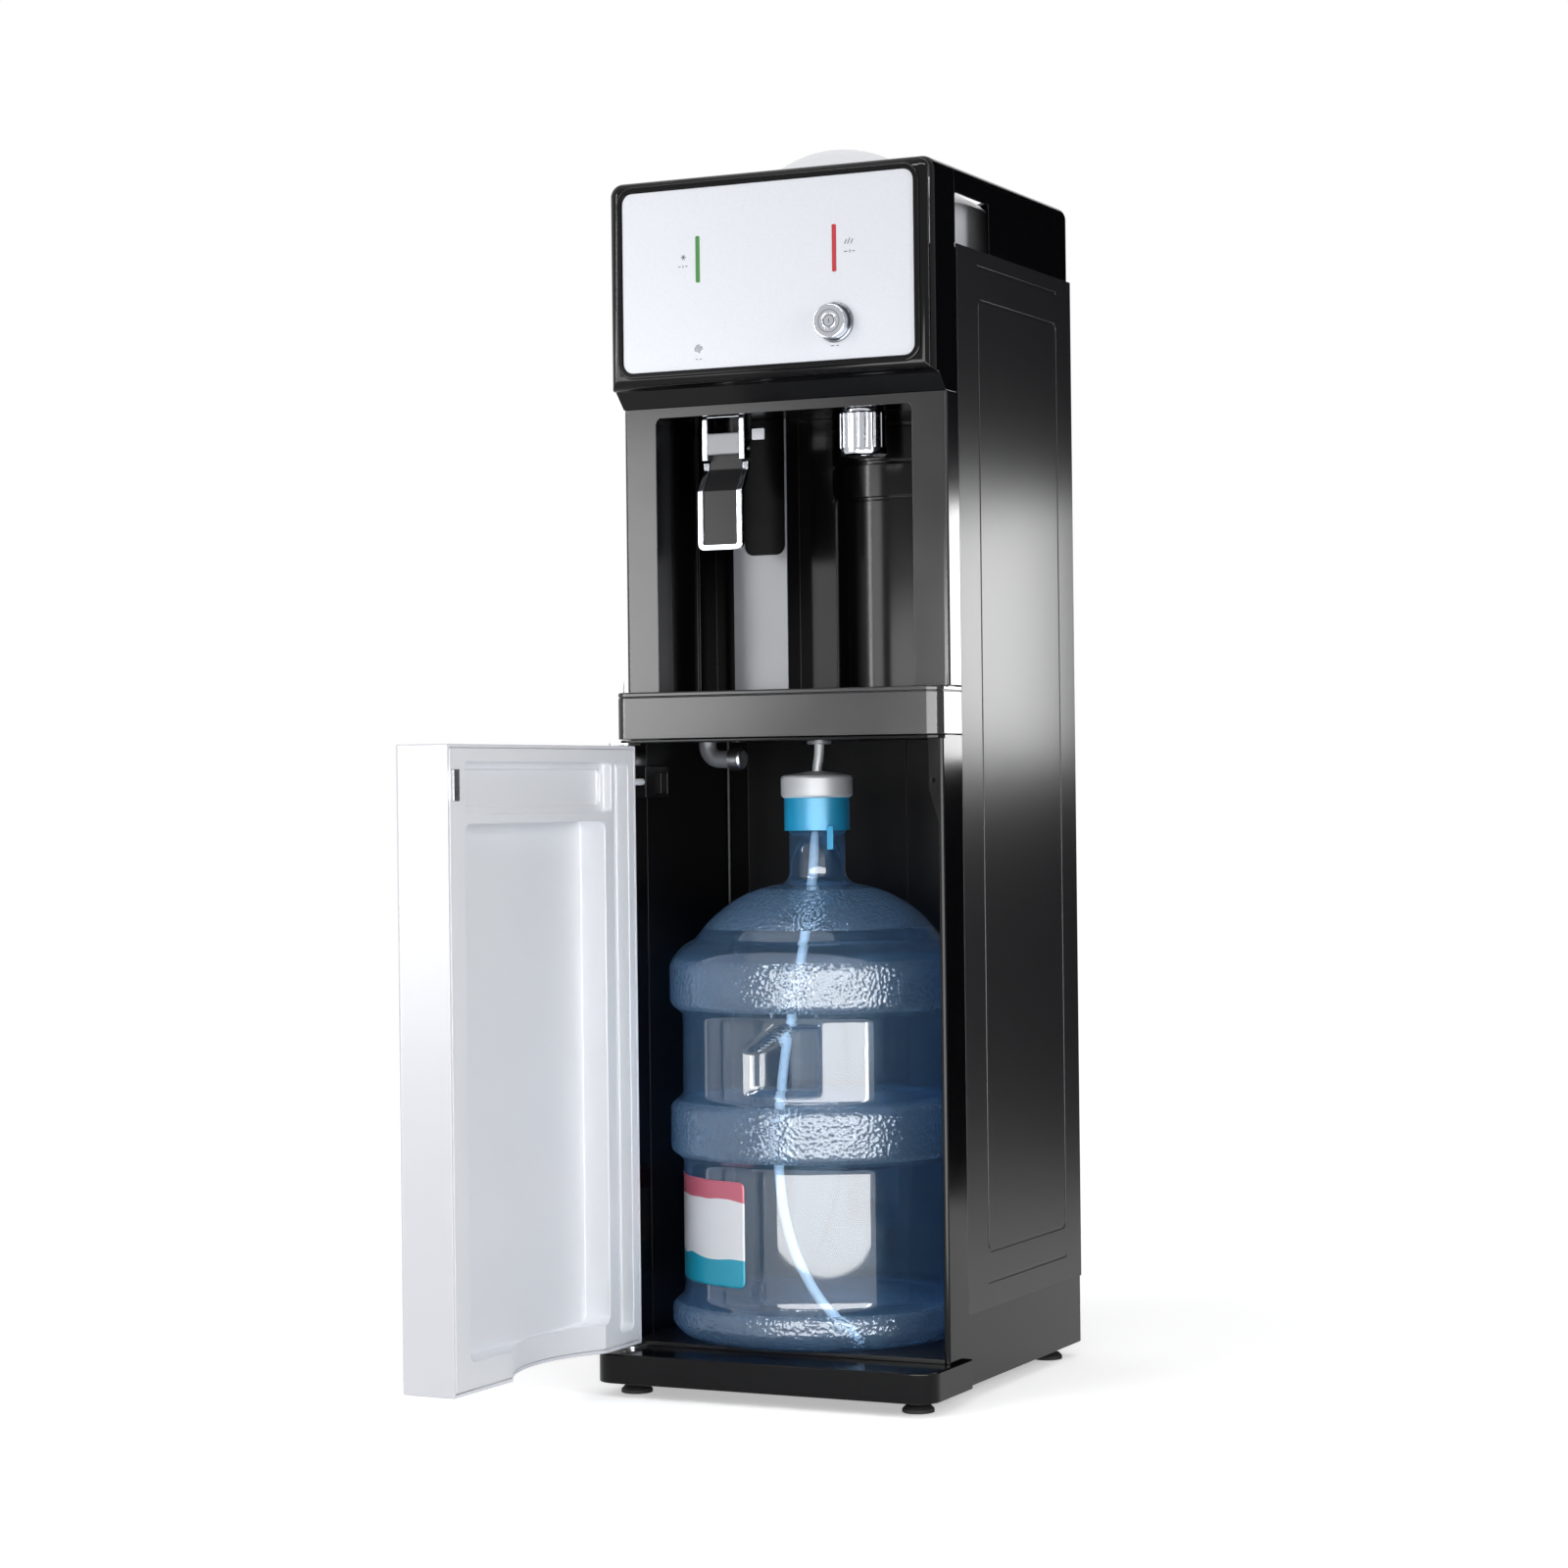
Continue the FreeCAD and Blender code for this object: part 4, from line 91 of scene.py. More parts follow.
def outwards(piece):
    # merges doubled points and turns every face outwards
    work = bmesh.new()
    work.from_mesh(piece.data)
    bmesh.ops.remove_doubles(work, verts=work.verts, dist=1e-6)
    bmesh.ops.recalc_face_normals(work, faces=work.faces)
    work.to_mesh(piece.data)
    work.free()
    return piece


def place(piece, body, slot, *replaced):
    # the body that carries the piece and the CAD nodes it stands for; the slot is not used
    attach(piece, body)
    if replaced:
        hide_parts(*replaced)
    return piece


cameraSettings = {
    "place": (1.3274, -2.8995, 0.5307),
    "yaw": 25.526,          # degrees to the left of straight ahead
    "pitch": 0.105,
    "roll": -0.661,
    "focalPixels": 3582.8,  # on a frame 1600 pixels wide
    "frameWidth": 1600,
    "sensor": 36.0,         # millimetres
    "clipEnd": 60,
}


def makeCamera():
    s = cameraSettings
    yaw, pitch, roll = (math.radians(s[k]) for k in ("yaw", "pitch", "roll"))
    forward = Vector((-math.sin(yaw) * math.cos(pitch), math.cos(yaw) * math.cos(pitch),
                      math.sin(pitch)))
    right = Vector((math.cos(yaw), math.sin(yaw), 0))
    up = right.cross(forward)
    turnedRight = math.cos(roll) * right + math.sin(roll) * up
    turnedUp = -math.sin(roll) * right + math.cos(roll) * up
    data = bpy.data.cameras.new("photoCamera")
    data.sensor_width = s["sensor"]
    data.lens = s["focalPixels"] / s["frameWidth"] * s["sensor"]
    data.clip_end = s["clipEnd"]
    camera = link(bpy.data.objects.new("photoCamera", data))
    matrix = Matrix((turnedRight, turnedUp, -forward)).transposed().to_4x4()
    matrix.translation = Vector(s["place"])
    camera.matrix_world = matrix
    bpy.context.scene.camera = camera


lightSettings = {
    # name: place, target, width, height, watts, rays that don't meet it; a lamp hidden from
    # glossy rays only lights, one hidden from diffuse rays only shows in reflections
    "keyLeft": ((-1.5, -2.6, 2.0), (0, 0, 0.6), 1.6, 2.0, 33, "glossy"),
    "fillFront": ((1.5, -3.2, 1.5), (0, 0, 0.5), 1.8, 1.8, 8, "glossy"),
    "fillRight": ((2.3, -0.9, 1.2), (0.1, 0, 0.9), 0.7, 0.9, 19, "glossy"),
    "topSoft": ((0.1, -0.2, 2.9), (0, 0, 0.6), 1.8, 1.8, 9, "glossy"),
    "rearGlow": ((0.37, 0.42, 0.69), (0.157, -0.02, 0.66), 0.16, 0.26, 1.35, "diffuse"),
    "windowCard": ((0.39, -0.82, 0.375), (-0.014, -0.022, 0.375), 1.35, 0.75, 34, "diffuse"),
    "stripLeft": ((-1.6, -1.6, 0.9), (0, 0, 0.9), 0.1, 2.2, 36, "diffuse"),
    "stripRight": ((1.9, -1.0, 0.9), (0, 0, 0.9), 0.06, 2.2, 11, "diffuse"),
    "stripTop": ((0.2, -1.5, 2.4), (0, 0, 0.9), 2.2, 0.12, 42, "diffuse"),
    "leftCard": ((-1.22, -1.92, 0.66), (-0.15, -0.12, 0.7), 0.6, 0.85, 14, "diffuse"),
}


def makeLights():
    for name, (spot, target, width, height, watts, blindTo) in lightSettings.items():
        data = bpy.data.lights.new(name, "AREA")
        data.shape = "RECTANGLE"
        data.size = width
        data.size_y = height
        data.energy = watts
        lamp = link(bpy.data.objects.new(name, data))
        lamp.location = spot
        way = Vector(target) - Vector(spot)
        lamp.rotation_euler = way.to_track_quat("-Z", "Y").to_euler()
        lamp.visible_glossy = blindTo != "glossy"
        lamp.visible_diffuse = blindTo != "diffuse"
        lamp.visible_transmission = False


# strength that camera, glossy and transmission rays meet, and strength that lights the object
worldSettings = {"seen": 1.0, "light": 0.42}


def seenRays(tree):
    # camera, glossy and transmission rays all meet the white background
    path = addNode(tree, "ShaderNodeLightPath")
    first = addNode(tree, "ShaderNodeMath", {"operation": "MAXIMUM"})
    tree.links.new(path.outputs["Is Camera Ray"], first.inputs[0])
    tree.links.new(path.outputs["Is Glossy Ray"], first.inputs[1])
    second = addNode(tree, "ShaderNodeMath", {"operation": "MAXIMUM"})
    tree.links.new(first.outputs[0], second.inputs[0])
    tree.links.new(path.outputs["Is Transmission Ray"], second.inputs[1])
    return second.outputs[0]


def makeWorld():
    world = bpy.data.worlds.new("paleStudio")
    world.use_nodes = True
    tree = world.node_tree
    tree.nodes.clear()
    output = addNode(tree, "ShaderNodeOutputWorld")
    light = addNode(tree, "ShaderNodeBackground",
                    {"Color": (1, 1, 1, 1), "Strength": worldSettings["light"]})
    seen = addNode(tree, "ShaderNodeBackground",
                   {"Color": (1, 1, 1, 1), "Strength": worldSettings["seen"]})
    mix = addNode(tree, "ShaderNodeMixShader", links={"Fac": seenRays(tree)})
    tree.links.new(light.outputs[0], mix.inputs[1])
    tree.links.new(seen.outputs[0], mix.inputs[2])
    tree.links.new(mix.outputs[0], output.inputs["Surface"])
    bpy.context.scene.world = world


floorSettings = {
    "reach": 14.0, "sides": 96, "paper": "#f4f4f5", "grain": 180.0,
    # what the camera sees grows to white from one distance to the other
    "glowNear": 0.44, "glowFar": 0.62, "nearEdge": 0.5, "farEdge": 2.2,
}


def makeFloor():
    # matt studio paper with a faint grain; it keeps the shadow and takes on the white beyond
    s = floorSettings
    material, tree, output = newMaterial("studioPaper")
    grain = addNode(tree, "ShaderNodeTexNoise", {"Scale": s["grain"], "Detail": 2.0},
                    {"Vector": addNode(tree, "ShaderNodeTexCoord").outputs["Object"]})
    # a colour mix takes its two colours at inputs 6 and 7 and gives output 2
    tint = addNode(tree, "ShaderNodeMix", {"data_type": "RGBA"})
    tint.inputs[6].default_value = hexColour(s["paper"])
    tint.inputs[7].default_value = hexColour("#ffffff")
    tree.links.new(grain.outputs[0], tint.inputs[0])
    paper = addNode(tree, "ShaderNodeBsdfDiffuse", links={"Color": tint.outputs[2]})
    away = addNode(tree, "ShaderNodeVectorMath", {"operation": "LENGTH"})
    tree.links.new(addNode(tree, "ShaderNodeTexCoord").outputs["Object"], away.inputs[0])
    strength = addNode(tree, "ShaderNodeMapRange",
                       {"From Min": s["nearEdge"], "From Max": s["farEdge"],
                        "To Min": s["glowNear"], "To Max": s["glowFar"]},
                       {"Value": away.outputs["Value"]})
    glow = addNode(tree, "ShaderNodeEmission", {"Color": (1, 1, 1, 1)},
                   {"Strength": strength.outputs[0]})
    both = addNode(tree, "ShaderNodeAddShader")
    tree.links.new(paper.outputs[0], both.inputs[0])
    tree.links.new(glow.outputs[0], both.inputs[1])
    mix = addNode(tree, "ShaderNodeMixShader", links={"Fac": seenRays(tree)})
    tree.links.new(paper.outputs[0], mix.inputs[1])
    tree.links.new(both.outputs[0], mix.inputs[2])
    finishMaterial(tree, output, mix.outputs[0])
    ring = [(s["reach"] * math.cos(2 * math.pi * n / s["sides"]),
             s["reach"] * math.sin(2 * math.pi * n / s["sides"]), 0)
            for n in range(s["sides"])]
    floor = meshPiece("studioFloor", ring, [list(range(s["sides"]))], material, False)


flagSettings = {"place": (0.72, 1.3, 0.7), "target": (0.157, 0.05, 0.7), "width": 1.5,
                "height": 3.0}


def makeFlag():
    # black studio flag behind the right side, met only by the reflections of that side
    s = flagSettings
    material, tree, output = newMaterial("blackFlagCloth")
    weave = addNode(tree, "ShaderNodeTexNoise", {"Scale": 900.0},
                    {"Vector": addNode(tree, "ShaderNodeTexCoord").outputs["Object"]})
    tone = addNode(tree, "ShaderNodeMapRange", {"To Min": 0.001, "To Max": 0.002},
                   {"Value": weave.outputs[0]})
    cloth = addNode(tree, "ShaderNodeBsdfDiffuse", links={"Color": tone.outputs[0]})
    finishMaterial(tree, output, cloth.outputs[0])
    spot = Vector(s["place"])
    way = (Vector(s["target"]) - spot).normalized()
    across = way.cross(Vector((0, 0, 1))).normalized() * s["width"] / 2
    up = Vector((0, 0, s["height"] / 2))
    corners = [spot - across - up, spot + across - up, spot + across + up,
               spot - across + up]
    flag = meshPiece("blackFlag", corners, [(0, 1, 2, 3)], material, False)
    flag.visible_camera = False
    flag.visible_diffuse = False
    flag.visible_transmission = False
    flag.visible_shadow = False


makeCamera()
makeLights()
makeWorld()
makeFloor()
makeFlag()
bpy.context.scene.view_settings.view_transform = "Standard"
print("camera, light and floor ready")


def mouldedPlastic(name, colour, roughness, peel=2.5, peelHeight=0.02, spread=0.05,
                   sheen=0.5):
    # injection moulded plastic: an even colour, a faint waviness from the mould and patches
    # of gloss 45 mm across; peel is the size of the waves in millimetres and peelHeight their
    # height, spread how far the gloss varies and sheen how much of the room it mirrors
    material, tree, output = newMaterial(name)
    where = addNode(tree, "ShaderNodeTexCoord").outputs["Object"]
    waves = addNode(tree, "ShaderNodeTexNoise", {"Scale": 1 / (peel * mm), "Detail": 2.0},
                    {"Vector": where})
    patches = addNode(tree, "ShaderNodeTexNoise", {"Scale": 1 / (45 * mm), "Detail": 3.0},
                      {"Vector": where})
    gloss = addNode(tree, "ShaderNodeMapRange",
                    {"To Min": roughness - spread, "To Max": roughness + spread},
                    {"Value": patches.outputs[0]})
    bump = addNode(tree, "ShaderNodeBump", {"Strength": 0.4, "Distance": peelHeight * mm},
                   {"Height": waves.outputs[0]})
    tone = addNode(tree, "ShaderNodeMix", {"data_type": "RGBA"})
    base = hexColour(colour)
    lift = 1.02 if max(base[:3]) > 0.3 else 1.12  # a pale face shows every patch
    tone.inputs[6].default_value = base
    tone.inputs[7].default_value = tuple(min(1, c * lift) for c in base[:3]) + (1,)
    tree.links.new(patches.outputs[0], tone.inputs[0])
    shader = addNode(tree, "ShaderNodeBsdfPrincipled",
                     {"Specular IOR Level": sheen},
                     {"Base Color": tone.outputs[2], "Roughness": gloss.outputs[0],
                      "Normal": bump.outputs[0]})
    finishMaterial(tree, output, shader.outputs[0])
    return material


def coatedSteel():
    # steel sheet with a baked textured black coating: a fine stipple that spreads reflections
    material, tree, output = newMaterial("coatedSteelBlack")
    where = addNode(tree, "ShaderNodeTexCoord").outputs["Object"]
    stipple = addNode(tree, "ShaderNodeTexVoronoi", {"Scale": 1 / (1.1 * mm)},
                      {"Vector": where})  # the real 0.5 mm grain, drawn coarser to show
    grain = addNode(tree, "ShaderNodeTexNoise", {"Scale": 1 / (0.9 * mm), "Detail": 3.0},
                    {"Vector": where})
    height = addNode(tree, "ShaderNodeMath", {"operation": "MULTIPLY"})
    tree.links.new(stipple.outputs[0], height.inputs[0])
    tree.links.new(grain.outputs[0], height.inputs[1])
    bump = addNode(tree, "ShaderNodeBump", {"Strength": 0.5, "Distance": 0.08 * mm},
                   {"Height": height.outputs[0]})
    tone = addNode(tree, "ShaderNodeValToRGB", links={"Fac": grain.outputs[0]})
    tone.color_ramp.elements[0].color = hexColour("#0c0c0e")
    tone.color_ramp.elements[1].color = hexColour("#1b1b1e")
    shader = addNode(tree, "ShaderNodeBsdfPrincipled",
                     {"Roughness": 0.36, "Specular IOR Level": 0.4},
                     {"Base Color": tone.outputs[0], "Normal": bump.outputs[0]})
    finishMaterial(tree, output, shader.outputs[0])
    return material


def metal(name, colour, roughness, spread, brush=None):
    # bare or plated metal: small differences in gloss; brush stretches them along X, Y and Z
    # into the streaks of a drawn or turned surface
    material, tree, output = newMaterial(name)
    where = addNode(tree, "ShaderNodeTexCoord").outputs["Object"]
    stretch = addNode(tree, "ShaderNodeMapping",
                      {"Scale": brush or (1.0, 1.0, 1.0)}, {"Vector": where})
    grain = addNode(tree, "ShaderNodeTexNoise", {"Scale": 1 / (1.5 * mm), "Detail": 4.0},
                    {"Vector": stretch.outputs[0]})
    gloss = addNode(tree, "ShaderNodeMapRange",
                    {"To Min": roughness - spread, "To Max": roughness + spread},
                    {"Value": grain.outputs[0]})
    shader = addNode(tree, "ShaderNodeBsdfPrincipled",
                     {"Base Color": hexColour(colour), "Metallic": 1.0},
                     {"Roughness": gloss.outputs[0]})
    finishMaterial(tree, output, shader.outputs[0])
    return material


def galvanisedSteel():
    # zinc coated sheet: spangle of pale and darker crystals about 8 mm across
    material, tree, output = newMaterial("galvanisedSteel")
    where = addNode(tree, "ShaderNodeTexCoord").outputs["Object"]
    spangle = addNode(tree, "ShaderNodeTexVoronoi", {"Scale": 1 / (8 * mm)},
                      {"Vector": where})
    tone = addNode(tree, "ShaderNodeValToRGB", links={"Fac": spangle.outputs["Color"]})
    tone.color_ramp.elements[0].color = hexColour("#8f949a")
    tone.color_ramp.elements[1].color = hexColour("#b4b8bd")
    gloss = addNode(tree, "ShaderNodeMapRange", {"To Min": 0.3, "To Max": 0.48},
                    {"Value": spangle.outputs["Color"]})
    shader = addNode(tree, "ShaderNodeBsdfPrincipled", {"Metallic": 1.0},
                     {"Base Color": tone.outputs[0], "Roughness": gloss.outputs[0]})
    finishMaterial(tree, output, shader.outputs[0])
    return material


def silverPanel():
    # silver-sprayed panel under clear lacquer: metal flake 0.3 mm, drawn 0.6 mm, soft sheen
    material, tree, output = newMaterial("silverSprayedAbs")
    where = addNode(tree, "ShaderNodeTexCoord").outputs["Object"]
    flake = addNode(tree, "ShaderNodeTexVoronoi", {"Scale": 1 / (0.6 * mm)},
                    {"Vector": where})
    tone = addNode(tree, "ShaderNodeValToRGB", links={"Fac": flake.outputs["Color"]})
    tone.color_ramp.elements[0].color = hexColour("#c2c5cc")
    tone.color_ramp.elements[1].color = hexColour("#cdd0d6")
    bump = addNode(tree, "ShaderNodeBump", {"Strength": 0.08, "Distance": 0.02 * mm},
                   {"Height": flake.outputs["Color"]})
    shader = addNode(tree, "ShaderNodeBsdfPrincipled",
                     {"Metallic": 0.1, "Roughness": 0.38, "Coat Weight": 0.2,
                      "Coat Roughness": 0.12},
                     {"Base Color": tone.outputs[0], "Normal": bump.outputs[0]})
    finishMaterial(tree, output, shader.outputs[0])
    return material


def letLightThrough(tree, shader, tint):
    # shadow rays pass, because Cycles' glass would otherwise cast a black shadow
    path = addNode(tree, "ShaderNodeLightPath")
    clear = addNode(tree, "ShaderNodeBsdfTransparent", {"Color": tint})
    mix = addNode(tree, "ShaderNodeMixShader", links={"Fac": path.outputs["Is Shadow Ray"]})
    tree.links.new(shader, mix.inputs[1])
    tree.links.new(clear.outputs[0], mix.inputs[2])
    return mix.outputs[0]


def bluePolycarbonate(name, pebble):
    # blown polycarbonate, tinted blue; the bands and the shoulder have a pebbled mould that
    # scatters light and looks paler than the clear wall; its pebbles are about 3 mm across
    material, tree, output = newMaterial(name)
    where = addNode(tree, "ShaderNodeTexCoord").outputs["Object"]
    ripple = addNode(tree, "ShaderNodeTexNoise", {"Scale": 1 / (45 * mm), "Detail": 1.0},
                     {"Vector": where})
    bump = addNode(tree, "ShaderNodeBump", {"Strength": 0.2, "Distance": 0.5 * mm},
                   {"Height": ripple.outputs[0]})
    body = "#d9eaf6"
    milk = 0.04
    if pebble:
        cells = addNode(tree, "ShaderNodeTexVoronoi",
                        {"Scale": 1 / (3.2 * mm), "feature": "SMOOTH_F1"},
                        {"Vector": where})
        bump = addNode(tree, "ShaderNodeBump", {"Strength": 1.0, "Distance": 1.2 * mm},
                       {"Height": cells.outputs[0], "Normal": bump.outputs[0]})
        body = "#cbdff0"
        milk = 0.24
    glass = addNode(tree, "ShaderNodeBsdfPrincipled",
                    {"Base Color": hexColour(body), "Roughness": 0.04, "IOR": 1.58,
                     "Transmission Weight": 1.0},
                    {"Normal": bump.outputs[0]})
    cloud = addNode(tree, "ShaderNodeBsdfPrincipled",
                    {"Base Color": hexColour("#90b3d2"), "Roughness": 0.22},
                    {"Normal": bump.outputs[0]})
    rim = addNode(tree, "ShaderNodeLayerWeight", {"Blend": 0.25})
    amount = addNode(tree, "ShaderNodeMapRange", {"To Min": milk, "To Max": milk + 0.2},
                     {"Value": rim.outputs["Facing"]})
    mix = addNode(tree, "ShaderNodeMixShader", links={"Fac": amount.outputs[0]})
    tree.links.new(glass.outputs[0], mix.inputs[1])
    tree.links.new(cloud.outputs[0], mix.inputs[2])
    through = letLightThrough(tree, mix.outputs[0], hexColour("#c9def5"))
    finishMaterial(tree, output, through)
    return material


def printedLabel():
    # paper label on the bottle: a rose stripe, a white field and a teal foot with a soft wave
    s = labelSettings
    material, tree, output = newMaterial("labelPaper")
    where = addNode(tree, "ShaderNodeTexCoord").outputs["Object"]
    wave = addNode(tree, "ShaderNodeTexNoise", {"Scale": 1 / (30 * mm), "Detail": 0.0},
                   {"Vector": where})
    split = addNode(tree, "ShaderNodeSeparateXYZ", links={"Vector": where})
    lift = addNode(tree, "ShaderNodeMath", {"operation": "MULTIPLY_ADD"})
    lift.inputs[1].default_value = s["wave"] * mm
    tree.links.new(wave.outputs[0], lift.inputs[0])
    tree.links.new(split.outputs["Z"], lift.inputs[2])
    share = addNode(tree, "ShaderNodeMapRange",
                    {"From Min": s["low"] * mm, "From Max": s["high"] * mm},
                    {"Value": lift.outputs[0]})
    ramp = addNode(tree, "ShaderNodeValToRGB", links={"Fac": share.outputs[0]})
    bands = ramp.color_ramp
    bands.interpolation = "CONSTANT"
    bands.elements[0].color = hexColour("#1aa6c4")
    bands.elements[1].position = 0.3
    bands.elements[1].color = hexColour("#f1f3f7")
    stripe = bands.elements.new(0.84)
    stripe.color = hexColour("#d06a7e")
    fibre = addNode(tree, "ShaderNodeTexNoise", {"Scale": 1 / (0.8 * mm), "Detail": 3.0},
                    {"Vector": where})
    bump = addNode(tree, "ShaderNodeBump", {"Strength": 0.2, "Distance": 0.02 * mm},
                   {"Height": fibre.outputs[0]})
    shader = addNode(tree, "ShaderNodeBsdfPrincipled", {"Roughness": 0.35},
                     {"Base Color": ramp.outputs[0], "Normal": bump.outputs[0]})
    finishMaterial(tree, output, shader.outputs[0])
    return material


def softPolymer(name, colour, roughness, transmission, shadowTint):
    # translucent polymer with a milky body
    material, tree, output = newMaterial(name)
    where = addNode(tree, "ShaderNodeTexCoord").outputs["Object"]
    cloud = addNode(tree, "ShaderNodeTexNoise", {"Scale": 1 / (6 * mm), "Detail": 2.0},
                    {"Vector": where})
    gloss = addNode(tree, "ShaderNodeMapRange",
                    {"To Min": roughness - 0.05, "To Max": roughness + 0.05},
                    {"Value": cloud.outputs[0]})
    shader = addNode(tree, "ShaderNodeBsdfPrincipled",
                     {"Base Color": hexColour(colour), "IOR": 1.48,
                      "Transmission Weight": transmission},
                     {"Roughness": gloss.outputs[0]})
    through = letLightThrough(tree, shader.outputs[0], hexColour(shadowTint))
    finishMaterial(tree, output, through)
    return material


def lens(name, colour, glow):
    # coloured light pipe, lit from behind
    material, tree, output = newMaterial(name)
    where = addNode(tree, "ShaderNodeTexCoord").outputs["Object"]
    spots = addNode(tree, "ShaderNodeTexNoise", {"Scale": 1 / (5 * mm)}, {"Vector": where})
    strength = addNode(tree, "ShaderNodeMapRange", {"To Min": glow * 0.8, "To Max": glow * 1.2},
                       {"Value": spots.outputs[0]})
    shader = addNode(tree, "ShaderNodeBsdfPrincipled",
                     {"Base Color": hexColour(colour), "Roughness": 0.2,
                      "Emission Color": hexColour(colour)},
                     {"Emission Strength": strength.outputs[0]})
    finishMaterial(tree, output, shader.outputs[0])
    return material


finish = {
    # moulded ABS: deep black skins, from a faint mirror to satin
    "glossAbs": mouldedPlastic("glossAbsBlack", "#08080a", 0.13, spread=0.03, sheen=0.16),
    "frameAbs": mouldedPlastic("glossAbsFrame", "#0d0d10", 0.2, spread=0.03, sheen=0.45),
    "satinAbs": mouldedPlastic("satinAbsBlack", "#0e0e10", 0.32, peel=1.2, peelHeight=0.05,
                               sheen=0.2),
    "paddleAbs": mouldedPlastic("satinAbsPaddle", "#121214", 0.3, peel=1.2, sheen=0.2),
    "nicheAbs": mouldedPlastic("glossAbsNiche", "#060607", 0.17, spread=0.04, sheen=0.14),
    "insetAbs": mouldedPlastic("glossAbsInset", "#030304", 0.25, sheen=0.04),
    "bayAbs": mouldedPlastic("satinAbsBay", "#070708", 0.34, peel=1.6, sheen=0.12),
    # sheet, wire and sprayed panels: stipple, spangle, soft enamel and silver flake
    "coatedSteel": coatedSteel(),
    "galvanised": galvanisedSteel(),
    "enamel": mouldedPlastic("stoveEnamelBlack", "#0e0f10", 0.35, peel=1.5, sheen=0.3),
    "silver": silverPanel(),
    "splash": mouldedPlastic("silverGreyAbs", "#85888f", 0.24, peel=1.4, sheen=0.6),
    # plated, turned and drawn metal: sharp bright reflections, or streaks along the work
    "chrome": metal("chromePlate", "#b4b7bd", 0.08, 0.03),
    # chrome darkened for the button's bezel: its dark colour is painted shade of the gap round
    # the hot button
    "gapShadeChrome": metal("chromeWithPaintedGapShade", "#6f7277", 0.12, 0.03),
    "steel": metal("turnedSteel", "#a9abae", 0.28, 0.08, (1.0, 1.0, 14.0)),
    "stainless": metal("drawnStainless", "#b9bbbe", 0.26, 0.08, (1.0, 1.0, 10.0)),
    # white and grey mouldings: the door shines, liner and caps look waxy
    "whiteAbs": mouldedPlastic("glossAbsWhite", "#e2e3e9", 0.24, spread=0.04),
    "linerHips": mouldedPlastic("polystyreneLinerWhite", "#e2e4e8", 0.42, peel=2.0),
    "greyAbs": mouldedPlastic("satinAbsGrey", "#8d9095", 0.4),
    "whiteCap": mouldedPlastic("polyethyleneWhite", "#e6e9ec", 0.4),
    # milky plastics that let a little light through
    "cyanCap": softPolymer("polyethyleneCyan", "#2ab8ea", 0.34, 0.15, "#8fd4ec"),
    "hose": softPolymer("siliconeTubeClear", "#fbfdff", 0.28, 0.05, "#f0f5fa"),
    # matt rubber
    "blackRubber": mouldedPlastic("nitrileRubberBlack", "#101010", 0.7, peel=1.0, sheen=0.3),
    # light pipes: colour that seems to come from inside
    "green": lens("lightPipeGreen", "#3d8a3a", 0.1),
    "red": lens("lightPipeRed", "#b81f2b", 0.1),
    "lamp": lens("lightPipeFrosted", "#dfe4ea", 0.4),
    # inner parts, printing and screws: grainy foam, resin board, flat ink, blue-grey zinc
    "foam": mouldedPlastic("rigidFoam", "#cdbf96", 0.8, peel=1.6, peelHeight=0.4),
    "board": mouldedPlastic("glassFibreBoard", "#1b5b32", 0.45, peel=4.0),
    "ink": mouldedPlastic("padPrintInk", "#3a3b40", 0.5, peel=0.8, sheen=0.3),
    "zincScrew": metal("zincPlatedSteel", "#a4a8ad", 0.3, 0.06),
}
bottleClear = bluePolycarbonate("blownPolycarbonateBlue", False)
bottlePebble = bluePolycarbonate("blownPolycarbonatePebbled", True)
print("materials ready:", len(finish) + 2)


edges = {"none": 0.0, "fine": 0.25, "usual": 0.5, "soft": 0.9}  # bevel widths in millimetres

